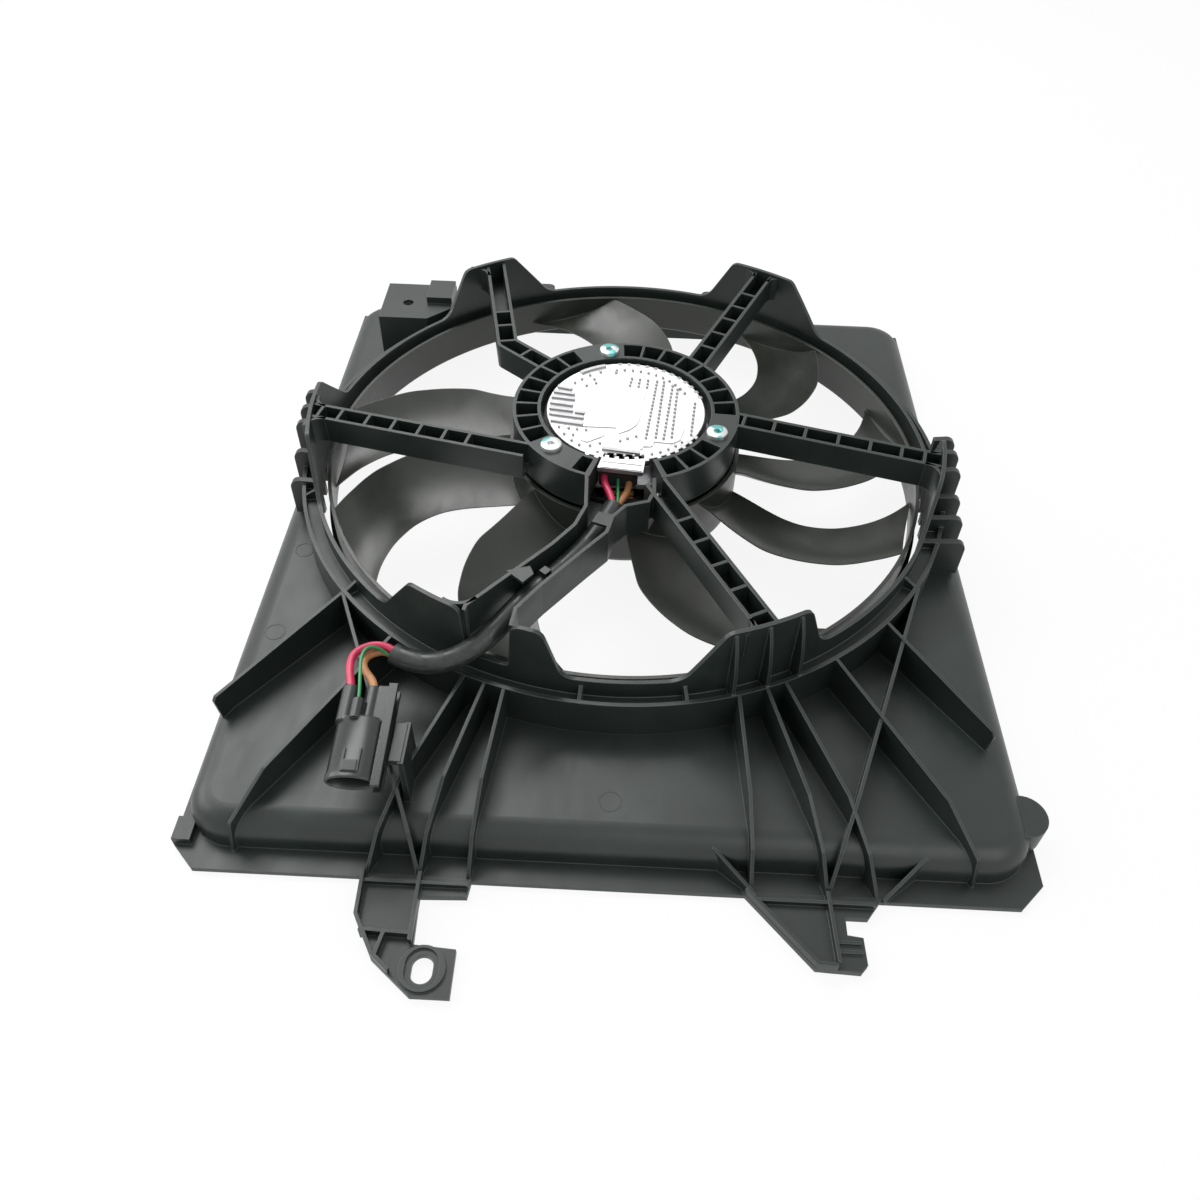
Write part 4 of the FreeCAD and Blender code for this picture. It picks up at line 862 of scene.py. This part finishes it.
# Rows of pins: first, last, how many
PIN_ROWS = [
    ((3.2, 34.2), (2.0, 26.2), 3), ((8.7, 33.5), (7.8, 25.6), 3), ((14.2, 32.7), (13.6, 25.0), 3),
    ((20.4, 32.0), (13.6, -30.0), 17), ((25.2, 31.7), (19.9, -29.0), 16), ((31.0, 27.5), (25.0, -30.0), 15),
    ((34.4, 23.8), (30.2, -28.0), 13), ((45.9, 8.7), (42.7, -24.8), 9),
]
# Arcs of pins: radius, first angle, angle between pins
PIN_ARCS = [(44.0, 100.0, -7.3), (49.5, -110.0, 6.8)]
PINS_PER_ARC = 11
LOOSE_PINS = [
    (-43.0, -22.4), (-36.7, -23.4), (-31.2, -24.0), (-25.3, -24.4), (-39.2, -29.5), (-33.4, -30.1),
    (-34.0, -35.8), (-28.9, -40.0), (-22.0, -40.2), (-15.8, -37.5), (-2.9, -34.2), (1.8, -31.6),
    (7.3, -29.0), (-35.5, 26.8), (-31.0, 31.2), (-25.7, 36.2), (-22.5, 31.8), (-18.7, 40.3),
    (-21.2, 27.4), (-27.5, 24.0), (-8.0, 40.5),
]
COVER_TAB = [(-12.5, -46.0), (-16.4, -61.0), (12.3, -64.2), (14.0, -48.0)]
TAB_RIDGE_ROOT = 0.5
# Ridges on the tab: start, end, half width, height
TAB_RIDGES = [((-13.0, -54.6), (11.0, -56.9), 0.8, 0.5), ((-14.4, -60.3), (11.6, -62.9), 0.6, 0.6)]


def pin_places():
    """Places of the cover's pins: loose ones, straight rows and arcs along the rim."""
    places = list(LOOSE_PINS)
    for first, last, count in PIN_ROWS:
        places += [tuple(Vector(first).lerp(Vector(last), index / (count - 1))) for index in range(count)]
    for radius, first, between in PIN_ARCS:
        places += [tuple(turned_to(first + between * index, radius))[:2] for index in range(PINS_PER_ARC)]
    return places


def cover_plate(made):
    """Round plate with the teeth of its rim and the tab over the leads."""
    plate = [(COVER_PLATE - PLATE_FOOT_EDGE, COVER_FOOT), (COVER_PLATE, COVER_FOOT + PLATE_FOOT_EDGE),
             (COVER_PLATE, COVER_TOP - PLATE_TOP_EDGE), (COVER_PLATE - PLATE_TOP_EDGE, COVER_TOP)]
    made.lathe(plate, around=120)
    inner, outer = TOOTH_RADII
    low = COVER_FOOT + SUNK
    tooth = [(inner, low), (outer, low), (outer, COVER_TOP - TOOTH_SLOPE), (inner, COVER_TOP + TOOTH_SLOPE)]
    for angle in TOOTH_ANGLES:
        made.radial_plate(tooth, angle, TOOTH_THICKNESS)
    made.prism(COVER_TAB, low, COVER_TOP)
    for start, end, half_width, height in TAB_RIDGES:
        made.beam(start, end, half_width, COVER_TOP - TAB_RIDGE_ROOT, COVER_TOP + height)


def cover():
    """Die-cast cover with its toothed rim, bars, plateau, ridges and pins."""
    made = Solids()
    cover_plate(made)
    root = COVER_TOP - SUNK
    made.prism(COVER_PLATEAU, root, COVER_TOP + PLATEAU_HEIGHT)
    for line in COVER_RIDGES:
        for start, end in zip(line, line[1:]):
            made.beam(start, end, RIDGE_HALF, root, COVER_TOP + PLATEAU_HEIGHT)
    for start, end in COVER_BARS:
        made.beam(start, end, BAR_HALF, root, COVER_TOP + BAR_HEIGHT)
    inner, outer, first, last = CURVED_BAR
    bar = arc(0.0, 0.0, inner, first, last, steps=11) + arc(0.0, 0.0, outer, last, first, steps=11)
    made.prism(bar, root, COVER_TOP + BAR_HEIGHT)
    for x, y in pin_places():
        made.lathe(PIN_PROFILE, place=(x, y, COVER_TOP), around=10)
    made.finish("cover", "cover", "die_cast", node="heat_sink_cover")


# Cable tie
TIE_HALF_WIDTH = 1.7
TIE_BITE = 0.4
TIE_STANDS_OUT = 0.8
TIE_HEAD_HALF = 2.5
TIE_HEAD_HEIGHT = 2.6
TIE_HEAD_ROOT = 0.6


def tie():
    """Strap round the sleeve with its head on top."""
    start = Vector(SLEEVE_ROUTE[2])
    end = Vector(SLEEVE_ROUTE[3])
    along = (end - start).normalized()
    middle = start.lerp(end, 0.5)
    sideways = along.cross(Vector((0, 0, 1))).normalized()
    inner = SLEEVE_DIAMETER / 2 - TIE_BITE
    outer = SLEEVE_DIAMETER / 2 + TIE_STANDS_OUT
    half = TIE_HALF_WIDTH
    strap = [(inner, -half), (outer, -half), (outer, half), (inner, half)]
    made = Solids()
    made.lathe(strap, place=middle, along=along, wide=sideways, around=48, capped=False)
    corners = [(-1, -1), (1, -1), (1, 1), (-1, 1)]
    head = [tuple(middle + (along * ahead + sideways * aside) * TIE_HEAD_HALF)[:2] for ahead, aside in corners]
    made.prism(head, middle.z + outer - TIE_HEAD_ROOT, middle.z + outer + TIE_HEAD_HEIGHT)
    made.finish("tie", "shroud", "shroud_plastic", node="cable_tie")


# Plug's shell from inside its mouth round to its shoulder: half width, half height, distance from the mouth
PLUG_SHELL = [
    (11.2, 5.9, 14.0), (11.4, 6.0, 0.6), (11.8, 6.4, 0.0), (12.8, 7.3, 0.0), (13.2, 7.7, 0.5),
    (13.2, 7.7, 3.5), (13.0, 7.5, 4.2), (13.0, 7.5, PLUG_LENGTH - 1.2), (12.3, 6.8, PLUG_LENGTH),
]
TOWER_START = PLUG_LENGTH - 2.0
TOWER_END = PLUG_LENGTH + 19.5
TOWER_ROUNDING = 0.6
# Towers for the leads: hole, outer and inner radius, end, depth of the hole
PLUG_TOWERS = [
    (POWER_HOLES[0], 5.1, 3.1, TOWER_END, 10.0),
    (POWER_HOLES[1], 4.7, 3.1, TOWER_END, 10.0),
    (SIGNAL_HOLE, 3.4, 1.5, PLUG_LENGTH + 10.0, 6.0),
]
RAIL_START = -3.0
RAIL_END = PLUG_LENGTH + 21.0
# Blocks on the shell by x, y and z: tower's flank, two rails, their bridge, latch and its two guides
PLUG_BLOCKS = [
    ((6.0, 11.9), (TOWER_START, TOWER_END), (-4.6, 4.6)),
    ((11.4, 16.0), (RAIL_START, RAIL_END), (3.2, 5.6)),
    ((11.4, 16.0), (RAIL_START, RAIL_END), (-5.6, -3.2)),
    ((14.4, 16.0), (12.0, PLUG_LENGTH + 10.0), (-4.0, 4.0)),
    ((-3.5, 3.5), (3.0, 9.0), (6.8, 8.8)),
    ((-4.6, -3.5), (3.0, 16.0), (6.6, 8.2)),
    ((3.5, 4.6), (3.0, 16.0), (6.6, 8.2)),
]
# Contact blades in the mouth: middle, underside, width
CONTACTS = [(-6.4, 0.9, 5.0), (3.4, 0.9, 5.0), (-3.6, -3.2, 1.6), (1.6, -3.2, 1.6)]
CONTACT_REACH = (7.0, 16.0)
CONTACT_THICKNESS = 0.8


def plug_block(made, across, along, up):
    """Box in the plug's own axes, with two limits for each."""
    left, right = across
    low, high = up
    corners = [(left, low), (right, low), (right, high), (left, high)]
    made.skin([[plug_point(x, y, z) for x, z in corners] for y in along])


def plug():
    """Oval plug with two towers for the power leads, one for the signal lead, and a side rail."""
    along = (0, math.cos(PLUG_TILT), math.sin(PLUG_TILT))
    made = Solids()
    made.turned(PLUG_SHELL, place=plug_point(0, 0, 0), along=along, around=72)
    for (x, z), outer, inner, end, depth in PLUG_TOWERS:
        tower = [(outer, TOWER_START), (outer, end - TOWER_ROUNDING), (outer - TOWER_ROUNDING, end)]
        tower += [(inner, end), (inner, end - depth)]
        made.lathe(tower, place=plug_point(x, 0, z), along=along, around=32)
    for limits in PLUG_BLOCKS:
        plug_block(made, *limits)
    made.finish("plug", "plug", "plug_plastic", node="plug_housing")
    contacts = Solids()
    for x, z, width in CONTACTS:
        plug_block(contacts, (x - width / 2, x + width / 2), CONTACT_REACH, (z, z + CONTACT_THICKNESS))
    contacts.finish("plug_blades", "brass", "contact_brass", node="plug_terminals")


# Studio, in metres
FLOOR_SIZE = 12.0
FLOOR_DROP = 0.0005
FLOOR_GREY = 0.86
FLOOR_GLOW = 0.90
WORLD_LIGHT = 0.55
LIGHT_AIM = (0, 0, 0.05)


def shown_directly(tree):
    """One for rays from the camera and for rays that gloss or glass sends: they see the pale background."""
    path = tree.nodes.new("ShaderNodeLightPath")
    total = None
    for ray in ("Is Camera Ray", "Is Glossy Ray", "Is Transmission Ray"):
        if total is None:
            total = path.outputs[ray]
            continue
        larger = tree.nodes.new("ShaderNodeMath")
        larger.operation = "MAXIMUM"
        tree.links.new(total, larger.inputs[0])
        tree.links.new(path.outputs[ray], larger.inputs[1])
        total = larger.outputs[0]
    return total


def floor():
    """Pale floor that looks near white to the camera and still keeps a soft shadow."""
    bpy.ops.mesh.primitive_plane_add(size=FLOOR_SIZE, location=(0, 0, -FLOOR_DROP))
    plane = bpy.context.object
    plane.name = "floor"
    made = Shader("floor_paint", Roughness=0.9)
    made.bsdf.inputs["Base Color"].default_value = (FLOOR_GREY, FLOOR_GREY, FLOOR_GREY, 1)
    glow = made.node("ShaderNodeEmission")
    glow.inputs["Strength"].default_value = 1.0
    share = made.node("ShaderNodeMath", operation="MULTIPLY")
    share.inputs[1].default_value = FLOOR_GLOW
    made.link(shown_directly(made.tree), share.inputs[0])
    mix = made.node("ShaderNodeMixShader")
    made.link(share.outputs[0], mix.inputs["Fac"])
    made.link(made.bsdf.outputs["BSDF"], mix.inputs[1])
    made.link(glow.outputs["Emission"], mix.inputs[2])
    made.link(mix.outputs["Shader"], made.tree.nodes["Material Output"].inputs["Surface"])
    plane.data.materials.append(made.material)


def soft_light(name, place, size, power):
    """Rectangular light that looks at the part."""
    data = bpy.data.lights.new(name, "AREA")
    data.shape = "RECTANGLE"
    data.size, data.size_y = size
    data.energy = power
    lamp = bpy.data.objects.new(name, data)
    lamp.location = place
    lamp.rotation_euler = (Vector(LIGHT_AIM) - Vector(place)).to_track_quat("-Z", "Y").to_euler()
    scene.collection.objects.link(lamp)


def studio():
    """White surroundings that light the part less than they show, and three soft lights."""
    world = bpy.data.worlds.new("studio")
    world.use_nodes = True
    tree = world.node_tree
    background = tree.nodes["Background"]
    background.inputs["Color"].default_value = (1, 1, 1, 1)
    level = tree.nodes.new("ShaderNodeMapRange")
    level.inputs["To Min"].default_value = WORLD_LIGHT
    level.inputs["To Max"].default_value = 1.0
    tree.links.new(shown_directly(tree), level.inputs["Value"])
    tree.links.new(level.outputs["Result"], background.inputs["Strength"])
    scene.world = world
    soft_light("key_softbox", place=(-0.6, 0.9, 1.5), size=(1.4, 0.9), power=22.0)
    soft_light("fill_softbox", place=(0.9, -1.1, 1.4), size=(1.2, 1.2), power=7.0)
    soft_light("left_softbox", place=(-1.3, 0.1, 0.7), size=(1.0, 0.8), power=8.0)


def camera():
    """Camera of the photograph."""
    data = bpy.data.cameras.new("camera")
    data.lens = CAMERA_LENS
    data.sensor_width = CAMERA_SENSOR
    data.clip_start = 0.02
    made = bpy.data.objects.new("camera", data)
    turn = Matrix((CAMERA_RIGHT, CAMERA_UP, CAMERA_BACK)).transposed().to_4x4()
    made.matrix_world = Matrix.Translation(CAMERA_PLACE) @ turn
    scene.collection.objects.link(made)
    scene.camera = made


dress_nodes()
wiring()
barrel()
arm_flares()
fan()
bolts()
cover()
tie()
plug()
ejector_marks()
floor()
studio()
camera()
scene.view_settings.view_transform = "Standard"
